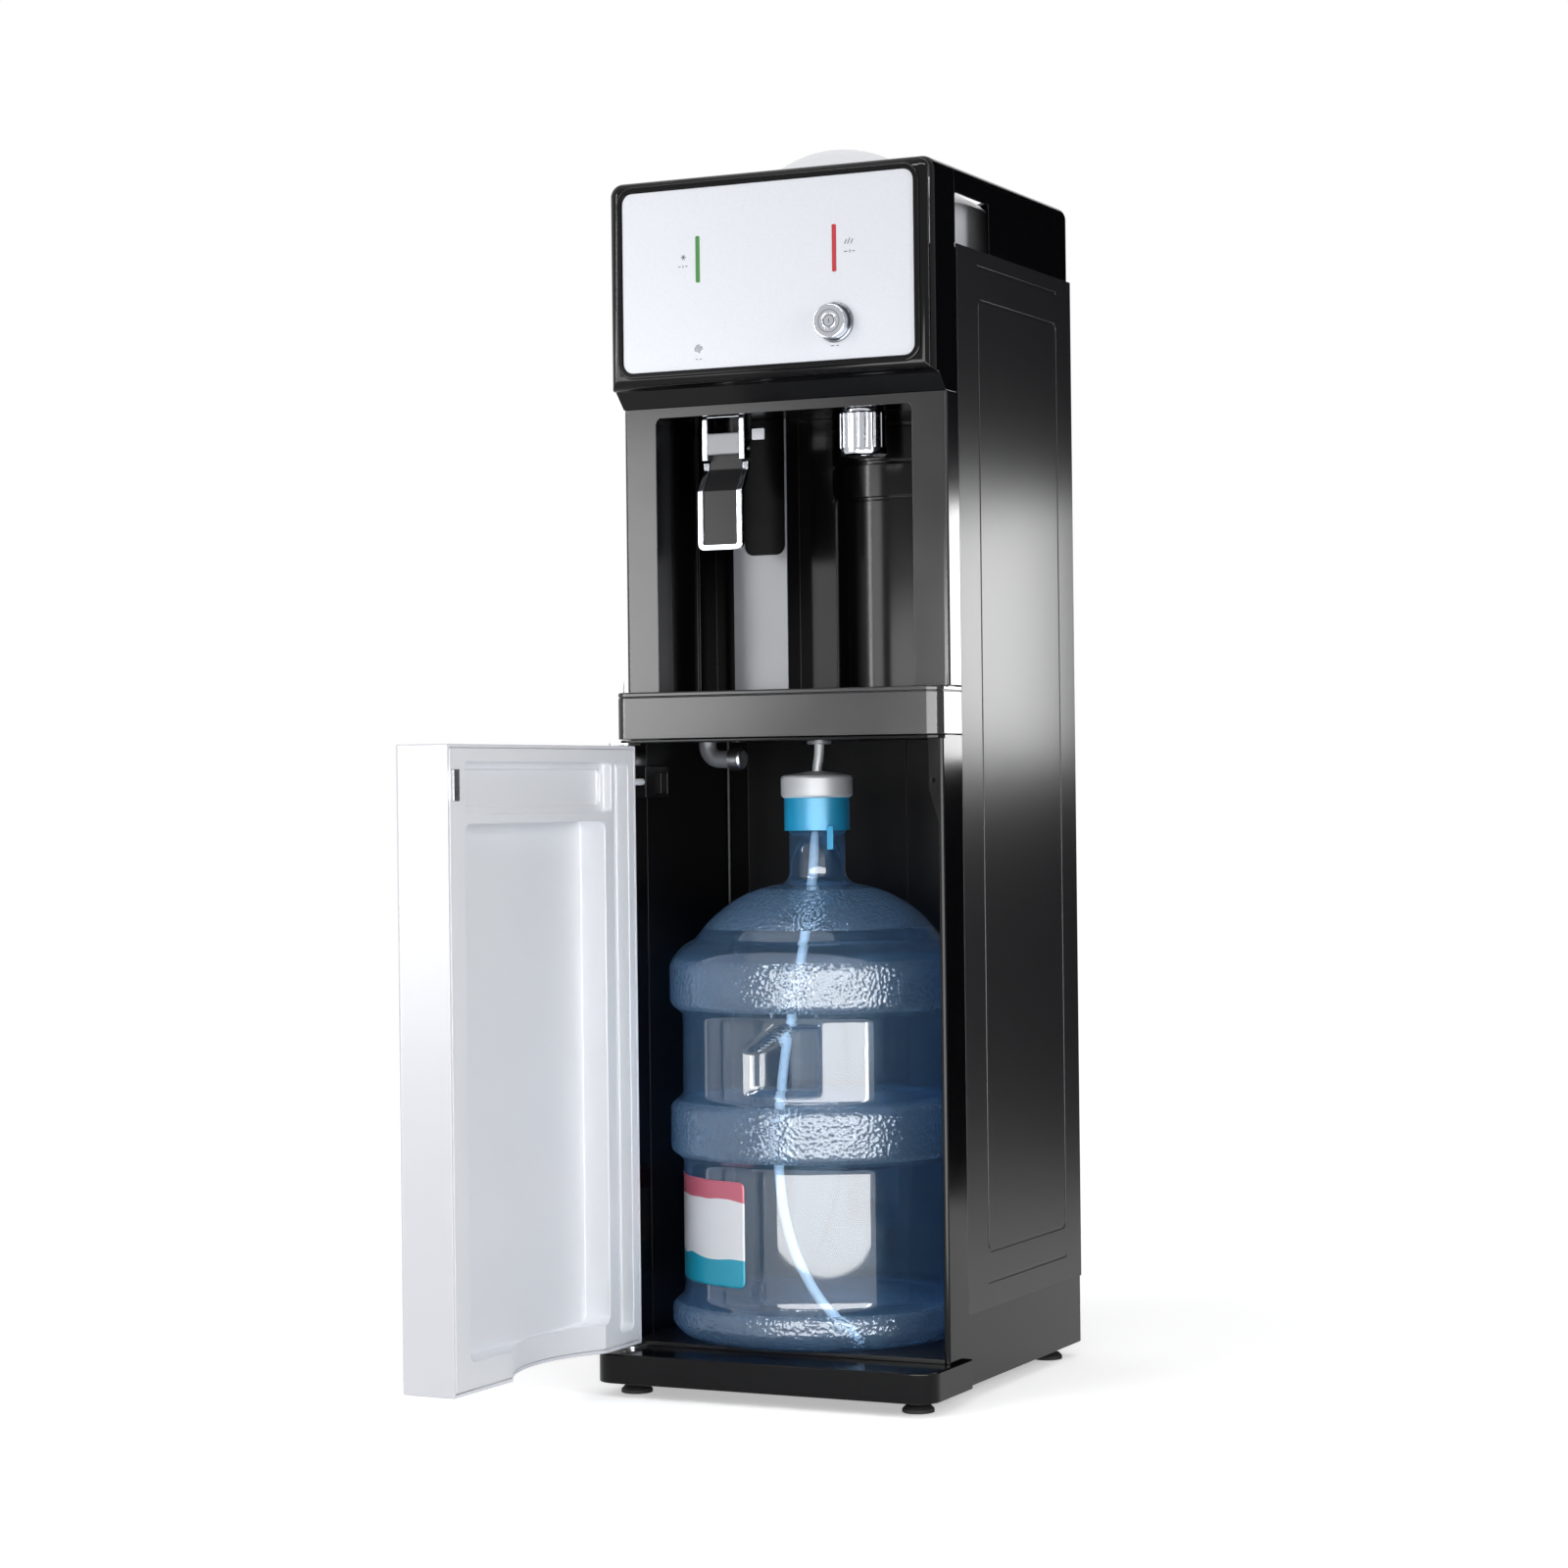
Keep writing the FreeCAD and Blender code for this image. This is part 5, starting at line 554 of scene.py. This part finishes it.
dressing = {
    # node: finish, edge
    "levelling_feet": ("blackRubber", "usual"),
    "base_lip": ("glossAbs", "soft"),
    "base_rear": ("glossAbs", "usual"),
    "bottle_platform": ("satinAbs", "usual"),
    "side_panel_left": ("coatedSteel", "fine"),
    "side_panel_right": ("coatedSteel", "fine"),
    "rear_panel": ("galvanised", "fine"),
    "mains_inlet": ("satinAbs", "usual"),
    "drain_plugs": ("whiteCap", "soft"),
    "condenser": ("enamel", "fine"),
    "front_frame": ("glossAbs", "usual"),
    "bottle_bay_liner": ("bayAbs", "usual"),
    "machine_deck": ("galvanised", "fine"),
    "hinge_brackets": ("steel", "fine"),
    "door_switch_case": ("satinAbs", "usual"),
    "door_switch_plunger": ("whiteCap", "fine"),
    "drain_elbow": ("greyAbs", "fine"),
    "drain_coupling": ("stainless", "fine"),
    "niche_frame": ("frameAbs", "usual"),
    "niche_liner": ("nicheAbs", "usual"),
    "splash_panel": ("splash", "fine"),
    "splash_inset": ("insetAbs", "fine"),
    "niche_lamp": ("lamp", "fine"),
    "head_bezel": ("glossAbs", "usual"),
    "panel_trim": ("glossAbs", "fine"),
    "control_panel": ("silver", "fine"),
    "cold_indicator": ("green", "fine"),
    "hot_indicator": ("red", "fine"),
    "power_indicator": ("chrome", "fine"),
    # the bezel's darkened chrome is painted shade of the gap round the button
    "button_bezel": ("gapShadeChrome", "fine"),
    "hot_safety_button": ("chrome", "fine"),
    "control_board": ("board", "fine"),
    "top_hood": ("glossAbs", "usual"),
    "top_deck": ("satinAbs", "fine"),
    "top_lid": ("whiteAbs", "usual"),
    "hot_outlet": ("chrome", "fine"),
    "tap_bracket": ("chrome", "usual"),
    "lever_pin": ("steel", "fine"),
    "tap_cover": ("greyAbs", "fine"),
    "cold_spout": ("satinAbs", "fine"),
    "lever_frame": ("chrome", "soft"),
    "lever_paddle": ("paddleAbs", "usual"),
    "drip_tray": ("frameAbs", "usual"),
    "tray_grille": ("glossAbs", "fine"),
    "door_shell": ("whiteAbs", "usual"),
    "door_liner": ("linerHips", "soft"),
    "door_magnet": ("steel", "fine"),
    "bottle_cap": ("cyanCap", "usual"),
    "probe_cap": ("whiteCap", "usual"),
    "hose_gland": ("greyAbs", "fine"),
    "compressor": ("enamel", "fine"),
    "compressor_mounts": ("blackRubber", "usual"),
    "cold_tank": ("stainless", "fine"),
    "tank_insulation": ("foam", "usual"),
    "tank_shelf": ("galvanised", "fine"),
    "hot_tank": ("stainless", "fine"),
    "water_pump": ("satinAbs", "usual"),
    "water_tubes": ("hose", "none"),
}


dressSettings = {
    "join": 0.002,          # millimetres between points that are one
    "planeAngle": 0.6,      # degrees between triangles that are one plane
    "edgeAngle": 32,        # degrees from which an edge is rounded
    "segments": 2,
    "shadeWeight": 60,
}


def dress(name, material, edge):
    # the CAD shape stays; modifiers join its loose triangles and round its edges
    s = dressSettings
    piece = nodes[name]
    piece.data.materials.clear()
    piece.data.materials.append(material)
    piece.data.polygons.foreach_set("use_smooth", [True] * len(piece.data.polygons))
    weld = piece.modifiers.new("join", "WELD")
    weld.merge_threshold = s["join"] * mm
    flat = piece.modifiers.new("planes", "DECIMATE")
    flat.decimate_type = "DISSOLVE"
    flat.angle_limit = math.radians(s["planeAngle"])
    if edge:
        bevel = piece.modifiers.new("edge", "BEVEL")
        bevel.width = edge * mm
        bevel.segments = s["segments"]
        bevel.limit_method = "ANGLE"
        bevel.angle_limit = math.radians(s["edgeAngle"])
        bevel.use_clamp_overlap = False
        bevel.miter_outer = "MITER_ARC"
    even = piece.modifiers.new("shade", "WEIGHTED_NORMAL")
    even.weight = s["shadeWeight"]
    even.keep_sharp = True


for name, (kind, edge) in dressing.items():
    dress(name, finish[kind], edges[edge])
print("CAD nodes dressed:", len(dressing))


hoseSettings = {
    "radius": 4.4 * mm,
    "curveShare": 0.985,    # the smooth curve's length as a share of the line through its points
    # millimetres, chosen along the hose in the photograph
    "route": [
        (-11.5, -20.8, 572.0), (-11.5, -20.8, 563.0), (-14.0, -22.0, 547.5),
        (-14.2, -22.3, 528.0), (-14.6, -23.5, 494.0), (-17.0, -27.0, 446.0),
        (-23.0, -34.0, 392.0), (-31.0, -42.0, 336.0), (-37.0, -51.0, 280.0),
        (-38.0, -61.0, 224.0), (-31.0, -73.0, 172.0), (-14.0, -86.0, 126.0),
        (12.0, -96.0, 88.0), (40.0, -101.0, 61.0), (62.0, -103.0, 50.5),
    ],
}


def suctionHose():
    route = [Vector(p) * mm for p in hoseSettings["route"]]
    curve = bpy.data.curves.new("suctionHose", "CURVE")
    curve.dimensions = "3D"
    curve.bevel_depth = hoseSettings["radius"]
    curve.bevel_resolution = 8
    curve.resolution_u = 10
    curve.use_fill_caps = True
    spline = curve.splines.new("NURBS")
    spline.points.add(len(route) - 1)
    for point, spot in zip(spline.points, route):
        point.co = (*spot, 1)
    spline.order_u = 3
    spline.use_endpoint_u = True
    curve.materials.append(finish["hose"])
    hose = link(bpy.data.objects.new("suctionHose", curve))
    place(hose, "cabinet", "clear_tube", "suction_hose")


suctionHose()
print("hose ready")

bottleSettings = {
    "axis": (-14.0, -22.0, 41.4),   # foot of the axis, in millimetres
    "wall": 1.3,
    "columns": 216,
    "rowHeight": 2.6,
    "rowsBetween": (5, 420),        # foot and neck need no rows of their own
    "cornerReach": 3.6,
    "cornerShare": 0.45,            # the most that a soft corner takes of a straight run
    # radius and height from the base; a third number is the radius of the arc that follows
    "profile": [
        (0, 0), (116, 0, 22), (135, 15), (135, 28), (123.7, 38), (123.7, 158), (135, 168),
        (135, 207), (123.7, 217), (123.7, 289), (135, 299), (135, 333, 40), (112, 356),
        (104, 366, 112), (33, 405, -14), (25.5, 415), (25.5, 474),
    ],
    "pebbled": [(4, 33), (163, 212), (294, 338), (366, 401)],
    # hand grip: corners across and up, depth of its flat floor and width of its slope
    "grip": [(-15, 222), (53, 222), (53, 286), (20, 286), (-15, 262)],
    "gripFloor": -101.7,
    "gripSlope": 5.0,
    # only points before this depth and between these heights can lie in the grip
    "gripFront": -80,
    "gripBetween": (215, 293),
}


def arcBetween(a, b, radius, steps=10):
    # points after a and before b on an arc that bulges away from the axis if radius is positive
    a, b = Vector(a), Vector(b)
    chord = b - a
    half = chord.length / 2
    side = Vector((chord.y, -chord.x)).normalized() * (1 if radius > 0 else -1)
    centre = (a + b) / 2 - side * math.sqrt(max(radius * radius - half * half, 0))
    start = math.atan2(a.y - centre.y, a.x - centre.x)
    sweep = math.atan2(b.y - centre.y, b.x - centre.x) - start
    sweep = (sweep + math.pi) % (2 * math.pi) - math.pi
    return [centre + abs(radius) * Vector((math.cos(start + sweep * n / steps),
                                           math.sin(start + sweep * n / steps)))
            for n in range(1, steps)]


def smoothProfile(corners, reach, rowHeight):
    # plain points along the profile: sharp corners softened, long runs split into rows
    line = []
    for n, corner in enumerate(corners):
        here = Vector(corner[:2])
        if 0 < n < len(corners) - 1 and len(corner) == 2 and len(corners[n - 1]) == 2:
            before = Vector(corners[n - 1][:2]) - here
            after = Vector(corners[n + 1][:2]) - here
            share = bottleSettings["cornerShare"]
            size = min(reach, before.length * share, after.length * share)
            start, end = here + before.normalized() * size, here + after.normalized() * size
            line += [start.lerp(here, t).lerp(here.lerp(end, t), t)
                     for t in (0, 0.2, 0.4, 0.6, 0.8, 1)]
        else:
            line.append(here)
        if len(corner) == 3:
            line += arcBetween(corner[:2], corners[n + 1][:2], corner[2])
    low, high = bottleSettings["rowsBetween"]
    rows = [line[0]]
    for point in line[1:]:
        start = rows[-1]
        steps = 1
        if low <= point.y <= high:
            steps = max(1, round((point - start).length / rowHeight))
        rows += [start.lerp(point, (k + 1) / steps) for k in range(steps)]
    return rows


def movedIn(rows, wall):
    # the same line, one wall further in
    inner = []
    for n, point in enumerate(rows):
        before = rows[max(n - 1, 0)]
        after = rows[min(n + 1, len(rows) - 1)]
        way = (after - before).normalized()
        moved = point + Vector((-way.y, way.x)) * wall
        inner.append(Vector((max(moved.x, 0), moved.y)))
    inner[0].x = 0
    inner[-1] = Vector((rows[-1].x - wall, rows[-1].y))
    return inner


def gripShare(across, up):
    # 0 outside the hand grip, 1 on its flat floor
    corners = bottleSettings["grip"]
    inside = 1e9
    for (x0, y0), (x1, y1) in zip(corners, corners[1:] + corners[:1]):
        run = math.hypot(x1 - x0, y1 - y0)
        inside = min(inside, ((x1 - x0) * (up - y0) - (y1 - y0) * (across - x0)) / run)
    t = min(max(inside / bottleSettings["gripSlope"], 0), 1)
    return t * t * (3 - 2 * t)


def bottleRing(point, wall):
    # one row of points; the grip pushes its front ones inwards
    s = bottleSettings
    low, high = s["gripBetween"]
    ring = []
    for n in range(s["columns"]):
        angle = 2 * math.pi * n / s["columns"]
        x, y = point.x * math.sin(angle), -point.x * math.cos(angle)
        if y < s["gripFront"] and low < point.y < high:
            share = gripShare(x, point.y)
            y += (max(y, s["gripFloor"] + wall) - y) * share
        ring.append(((s["axis"][0] + x) * mm, (s["axis"][1] + y) * mm,
                     (s["axis"][2] + point.y) * mm))
    return ring


def makeBottle():
    # outer wall upwards, mouth, inner wall downwards, closed at both poles
    s = bottleSettings
    outer = smoothProfile(s["profile"], s["cornerReach"], s["rowHeight"])
    inner = movedIn(outer, s["wall"])
    count = s["columns"]
    verts, faces, pebbled = [], [], []
    rows = [(p, 0) for p in outer[1:]] + [(p, s["wall"]) for p in reversed(inner[1:])]
    verts.append((s["axis"][0] * mm, s["axis"][1] * mm, s["axis"][2] * mm))
    for point, wall in rows:
        verts += bottleRing(point, wall)
    verts.append((s["axis"][0] * mm, s["axis"][1] * mm, (s["axis"][2] + s["wall"]) * mm))
    last = len(verts) - 1
    for n in range(count):
        faces.append((0, 1 + (n + 1) % count, 1 + n))
        pebbled.append(False)
    for row in range(len(rows) - 1):
        low, high = 1 + row * count, 1 + (row + 1) * count
        middle = (rows[row][0].y + rows[row + 1][0].y) / 2
        rough = row < len(outer) - 2 and any(a < middle < b for a, b in s["pebbled"])
        for n in range(count):
            m = (n + 1) % count
            faces.append((low + n, low + m, high + m, high + n))
            pebbled.append(rough)
    top = 1 + (len(rows) - 1) * count
    for n in range(count):
        faces.append((top + n, top + (n + 1) % count, last))
        pebbled.append(False)
    bottle = meshPiece("bottleBlown", verts, faces, bottleClear)
    bottle.data.materials.append(bottlePebble)
    bottle.data.polygons.foreach_set("material_index", [int(r) for r in pebbled])
    outwards(bottle)
    return place(bottle, "cabinet", "blue_polycarbonate", "bottle")


makeBottle()
print("bottle ready")

labelSettings = {
    # millimetres, but from and to in degrees; wave is how far the printed edges wander
    "radius": 124.1, "thickness": 0.25, "low": 95.0, "high": 188.0, "from": -80.0, "to": -8.0,
    "columns": 60, "rows": 40, "corner": 5.0, "wave": 6.0,
}


def makeLabel():
    # paper bent round the bottle's lower waist, with rounded corners
    s = labelSettings
    axis = bottleSettings["axis"]
    verts, faces = [], []
    for radius in (s["radius"], s["radius"] - s["thickness"]):
        for row in range(s["rows"] + 1):
            up = row / s["rows"]
            edge = min(up, 1 - up) * (s["high"] - s["low"])
            left = s["corner"] - min(edge, s["corner"])
            pull = s["corner"] - math.sqrt(s["corner"] ** 2 - left ** 2)
            narrow = math.degrees(pull / s["radius"])
            span = s["to"] - s["from"] - 2 * narrow
            for column in range(s["columns"] + 1):
                angle = math.radians(s["from"] + narrow + span * column / s["columns"])
                verts.append(((axis[0] + radius * math.sin(angle)) * mm,
                              (axis[1] - radius * math.cos(angle)) * mm,
                              (s["low"] + up * (s["high"] - s["low"])) * mm))
    wide = s["columns"] + 1
    layer = wide * (s["rows"] + 1)
    for row in range(s["rows"]):
        for column in range(s["columns"]):
            a = row * wide + column
            faces.append((a, a + 1, a + 1 + wide, a + wide))
            faces.append((layer + a, layer + a + wide, layer + a + 1 + wide, layer + a + 1))
    rim = list(range(wide)) + [wide * r + wide - 1 for r in range(1, s["rows"] + 1)]
    rim += [wide * s["rows"] + c for c in range(s["columns"] - 1, -1, -1)]
    rim += [wide * r for r in range(s["rows"] - 1, 0, -1)]
    for a, b in zip(rim, rim[1:] + rim[:1]):
        faces.append((a, layer + a, layer + b, b))
    label = meshPiece("bottleLabel", verts, faces, printedLabel())
    return place(outwards(label), "cabinet", "white_plastic")


makeLabel()

markSettings = {
    # where the panel's face lies along Y, depth and width of the printed strokes
    "face": -145.6, "depth": 0.16, "width": 0.7,
    # x, z, turn in degrees and length: pictograms only, no letters
    "strokes": [
        (-80, 1001, 0, 5), (-80, 1001, 60, 5), (-80, 1001, 120, 5),
        (-84, 993, 0, 2.4), (-80.4, 993, 90, 2.4), (-77, 993, 0, 2.2),
        (77, 1003, 65, 4.5), (80, 1003.5, 65, 5.5), (83, 1003, 65, 4.5),
        (77, 994.5, 0, 3), (81, 994.5, 90, 2.6), (84.5, 994.5, 0, 2.6),
        (-68, 910.5, 0, 2), (-64, 910.5, 0, 2), (63.5, 914, 0, 3.2), (68.5, 914, 0, 2.2),
    ],
    # the button: its face, centre, rings as radius and width, and the length of its stroke
    "buttonFace": -158.6, "buttonPlace": (66.0, 934.0), "rings": [(9.6, 0.5), (4.6, 0.7)],
    "ringDepth": 0.12, "ringSides": 64, "buttonStroke": 3.4,
}


def strokeBlock(work, x, z, turn, length, face):
    # one straight printed stroke, as a thin block half sunk into the face
    s = markSettings
    angle = math.radians(turn)
    along = Vector((math.cos(angle), 0, math.sin(angle))) * length / 2
    across = Vector((-math.sin(angle), 0, math.cos(angle))) * s["width"] / 2
    middle = Vector((x, face, z))
    corners = [middle - along - across, middle + along - across, middle + along + across,
               middle - along + across]
    front = [work.verts.new((c - Vector((0, s["depth"], 0))) * mm) for c in corners]
    back = [work.verts.new((c + Vector((0, s["depth"], 0))) * mm) for c in corners]
    work.faces.new(front)
    work.faces.new(back[::-1])
    for n in range(4):
        m = (n + 1) % 4
        work.faces.new((front[m], front[n], back[n], back[m]))


def ringBlock(work, x, z, radius, width, face):
    # one printed ring with a square section
    s = markSettings
    count, deep, outer = s["ringSides"], s["ringDepth"], radius + width
    loops = []
    for reach, depth in ((radius, -deep), (outer, -deep), (outer, deep), (radius, deep)):
        loops.append([work.verts.new(((x + reach * math.cos(2 * math.pi * n / count)) * mm,
                                      (face + depth) * mm,
                                      (z + reach * math.sin(2 * math.pi * n / count)) * mm))
                      for n in range(count)])
    for a, b in zip(loops, loops[1:] + loops[:1]):
        for n in range(count):
            m = (n + 1) % count
            work.faces.new((a[n], b[n], b[m], a[m]))


def printOn(body, name, work):
    mesh = bpy.data.meshes.new(name)
    bmesh.ops.recalc_face_normals(work, faces=work.faces)
    work.to_mesh(mesh)
    work.free()
    mesh.materials.append(finish["ink"])
    place(link(bpy.data.objects.new(name, mesh)), body, "black_satin")


def makeMarks():
    s = markSettings
    panel = bmesh.new()
    for x, z, turn, length in s["strokes"]:
        strokeBlock(panel, x, z, turn, length, s["face"])
    printOn("cabinet", "panelMarks", panel)
    button = bmesh.new()
    x, z = s["buttonPlace"]
    for radius, width in s["rings"]:
        ringBlock(button, x, z, radius, width, s["buttonFace"])
    strokeBlock(button, x, z, 90, s["buttonStroke"], s["buttonFace"])
    printOn("hot_button", "buttonMarks", button)


makeMarks()
print("label and marks ready")

screwSettings = {
    "radius": 3.6, "height": 2.2, "sides": 32,
    "dome": (0, 0.35, 0.7, 1.0, 1.25),      # angles of the head's rows, in radians
    "crossWidth": 0.9, "crossLength": 4.2, "crossDepth": 0.9, "crossLift": 0.05,
    # on the rear panel: its face, x and z down both sides, then along bottom and top
    "face": 151.5,
    "sidePlaces": [(x, z) for z in (86, 330, 575, 820, 990) for x in (-139, 139)],
    "endPlaces": [(x, z) for z in (86, 990) for x in (-70, 0, 70)],
    "turnStep": 0.9,                        # each screw stops at another angle
    "seed": 3,
}


def screwHead():
    # pan head, its underside at the origin and its axis along +Z; the driver's cross is two
    # bars of the same metal that show as a low relief
    s = screwSettings
    work = bmesh.new()
    count = s["sides"]
    rows = [(s["radius"] * math.cos(t), s["height"] * math.sin(t)) for t in s["dome"]]
    rings = [[work.verts.new((r * math.cos(2 * math.pi * n / count) * mm,
                              r * math.sin(2 * math.pi * n / count) * mm, h * mm))
              for n in range(count)] for r, h in rows]
    for a, b in zip(rings, rings[1:]):
        for n in range(count):
            m = (n + 1) % count
            work.faces.new((a[n], a[m], b[m], b[n]))
    work.faces.new(rings[0][::-1])
    work.faces.new(rings[-1])
    for turn in (0, 90):
        angle = math.radians(turn)
        along = Vector((math.cos(angle), math.sin(angle), 0)) * s["crossLength"] / 2
        across = Vector((-math.sin(angle), math.cos(angle), 0)) * s["crossWidth"] / 2
        high = Vector((0, 0, s["height"] + s["crossLift"]))
        low = Vector((0, 0, s["height"] - s["crossDepth"]))
        corners = [-along - across, along - across, along + across, -along + across]
        top = [work.verts.new((c + high) * mm) for c in corners]
        floor = [work.verts.new((c + low) * mm) for c in corners]
        work.faces.new(top)
        work.faces.new(floor[::-1])
        for n in range(4):
            m = (n + 1) % 4
            work.faces.new((top[m], top[n], floor[n], floor[m]))
    mesh = bpy.data.meshes.new("screwHead")
    bmesh.ops.recalc_face_normals(work, faces=work.faces)
    work.to_mesh(mesh)
    work.free()
    for face in mesh.polygons:
        face.use_smooth = len(face.vertices) == 4 and face.index < count * 4
    return link(bpy.data.objects.new("screwHead", mesh))


def repeatTree(name):
    # geometry nodes: one template at every vertex, turned by the vertices' "turn" attribute
    tree = bpy.data.node_groups.new(name, "GeometryNodeTree")
    face = tree.interface
    face.new_socket("Places", in_out="INPUT", socket_type="NodeSocketGeometry")
    face.new_socket("Template", in_out="INPUT", socket_type="NodeSocketObject")
    face.new_socket("Finish", in_out="INPUT", socket_type="NodeSocketMaterial")
    face.new_socket("Size", in_out="INPUT", socket_type="NodeSocketFloat")
    face.new_socket("Size Spread", in_out="INPUT", socket_type="NodeSocketFloat")
    face.new_socket("Seed", in_out="INPUT", socket_type="NodeSocketInt")
    face.new_socket("Pieces", in_out="OUTPUT", socket_type="NodeSocketGeometry")
    start = addNode(tree, "NodeGroupInput")
    end = addNode(tree, "NodeGroupOutput")
    template = addNode(tree, "GeometryNodeObjectInfo",
                       links={"Object": start.outputs["Template"]})
    turn = addNode(tree, "GeometryNodeInputNamedAttribute",
                   {"data_type": "FLOAT_VECTOR", "Name": "turn"})
    low = addNode(tree, "ShaderNodeMath", {"operation": "SUBTRACT"})
    high = addNode(tree, "ShaderNodeMath", {"operation": "ADD"})
    for node in (low, high):
        tree.links.new(start.outputs["Size"], node.inputs[0])
        tree.links.new(start.outputs["Size Spread"], node.inputs[1])
    # a random float takes its limits at inputs 2 and 3 and gives output 1
    size = addNode(tree, "FunctionNodeRandomValue", {"data_type": "FLOAT"})
    tree.links.new(low.outputs[0], size.inputs[2])
    tree.links.new(high.outputs[0], size.inputs[3])
    tree.links.new(start.outputs["Seed"], size.inputs["Seed"])
    copies = addNode(tree, "GeometryNodeInstanceOnPoints",
                     links={"Points": start.outputs["Places"],
                            "Instance": template.outputs["Geometry"],
                            "Rotation": turn.outputs["Attribute"],
                            "Scale": size.outputs[1]})
    real = addNode(tree, "GeometryNodeRealizeInstances",
                   links={"Geometry": copies.outputs["Instances"]})
    dressed = addNode(tree, "GeometryNodeSetMaterial",
                      links={"Geometry": real.outputs[0], "Material": start.outputs["Finish"]})
    tree.links.new(dressed.outputs[0], end.inputs["Pieces"])
    return tree


repeat = repeatTree("repeatOnVertices")


def repeated(name, places, turns, template, material, seed=1):
    # a plain mesh with the template at every place
    mesh = bpy.data.meshes.new(name + "Places")
    mesh.from_pydata([Vector(p) * mm for p in places], [], [])
    turn = mesh.attributes.new("turn", "FLOAT_VECTOR", "POINT")
    turn.data.foreach_set("vector", [value for t in turns for value in t])
    carrier = link(bpy.data.objects.new(name + "Places", mesh))
    nodesOn = carrier.modifiers.new("repeat", "NODES")
    nodesOn.node_group = repeat
    given = {"Template": template, "Finish": material, "Size": 1.0, "Size Spread": 0.0,
             "Seed": seed}
    for socket in repeat.interface.items_tree:
        if socket.in_out == "INPUT" and socket.name in given:
            nodesOn[socket.identifier] = given[socket.name]
    graph = bpy.context.evaluated_depsgraph_get()
    graph.update()
    plain = bpy.data.meshes.new_from_object(carrier.evaluated_get(graph),
                                            preserve_all_data_layers=True, depsgraph=graph)
    plain.name = name
    bpy.data.objects.remove(carrier)
    return link(bpy.data.objects.new(name, plain))


def makeScrews():
    s = screwSettings
    head = screwHead()
    places = [(x, s["face"], z) for x, z in s["sidePlaces"] + s["endPlaces"]]
    turns = [(-math.pi / 2, s["turnStep"] * n, 0) for n in range(len(places))]
    screws = repeated("rearScrews", places, turns, head, finish["zincScrew"], seed=s["seed"])
    place(screws, "cabinet", "stainless")
    bpy.data.objects.remove(head)


makeScrews()

tickSettings = {"count": 14, "width": 2.0, "height": 0.35, "depth": 0.5, "x": -66,
                "face": -146.05, "low": 979.5, "top": 1017.5}


def makeTicks():
    # fine dark divisions across the cold indicator's bar
    s = tickSettings
    work = bmesh.new()
    bmesh.ops.create_cube(work, size=1)
    bmesh.ops.scale(work, vec=Vector((s["width"], s["depth"], s["height"])) * mm,
                    verts=work.verts)
    mesh = bpy.data.meshes.new("tick")
    work.to_mesh(mesh)
    work.free()
    tick = link(bpy.data.objects.new("tick", mesh))
    step = (s["top"] - s["low"]) / (s["count"] - 1)
    places = [(s["x"], s["face"], s["low"] + n * step) for n in range(s["count"])]
    ticks = repeated("barTicks", places, [(0, 0, 0)] * len(places), tick, finish["ink"])
    place(ticks, "cabinet", "black_satin")
    bpy.data.objects.remove(tick)


makeTicks()
print("screws and ticks ready")
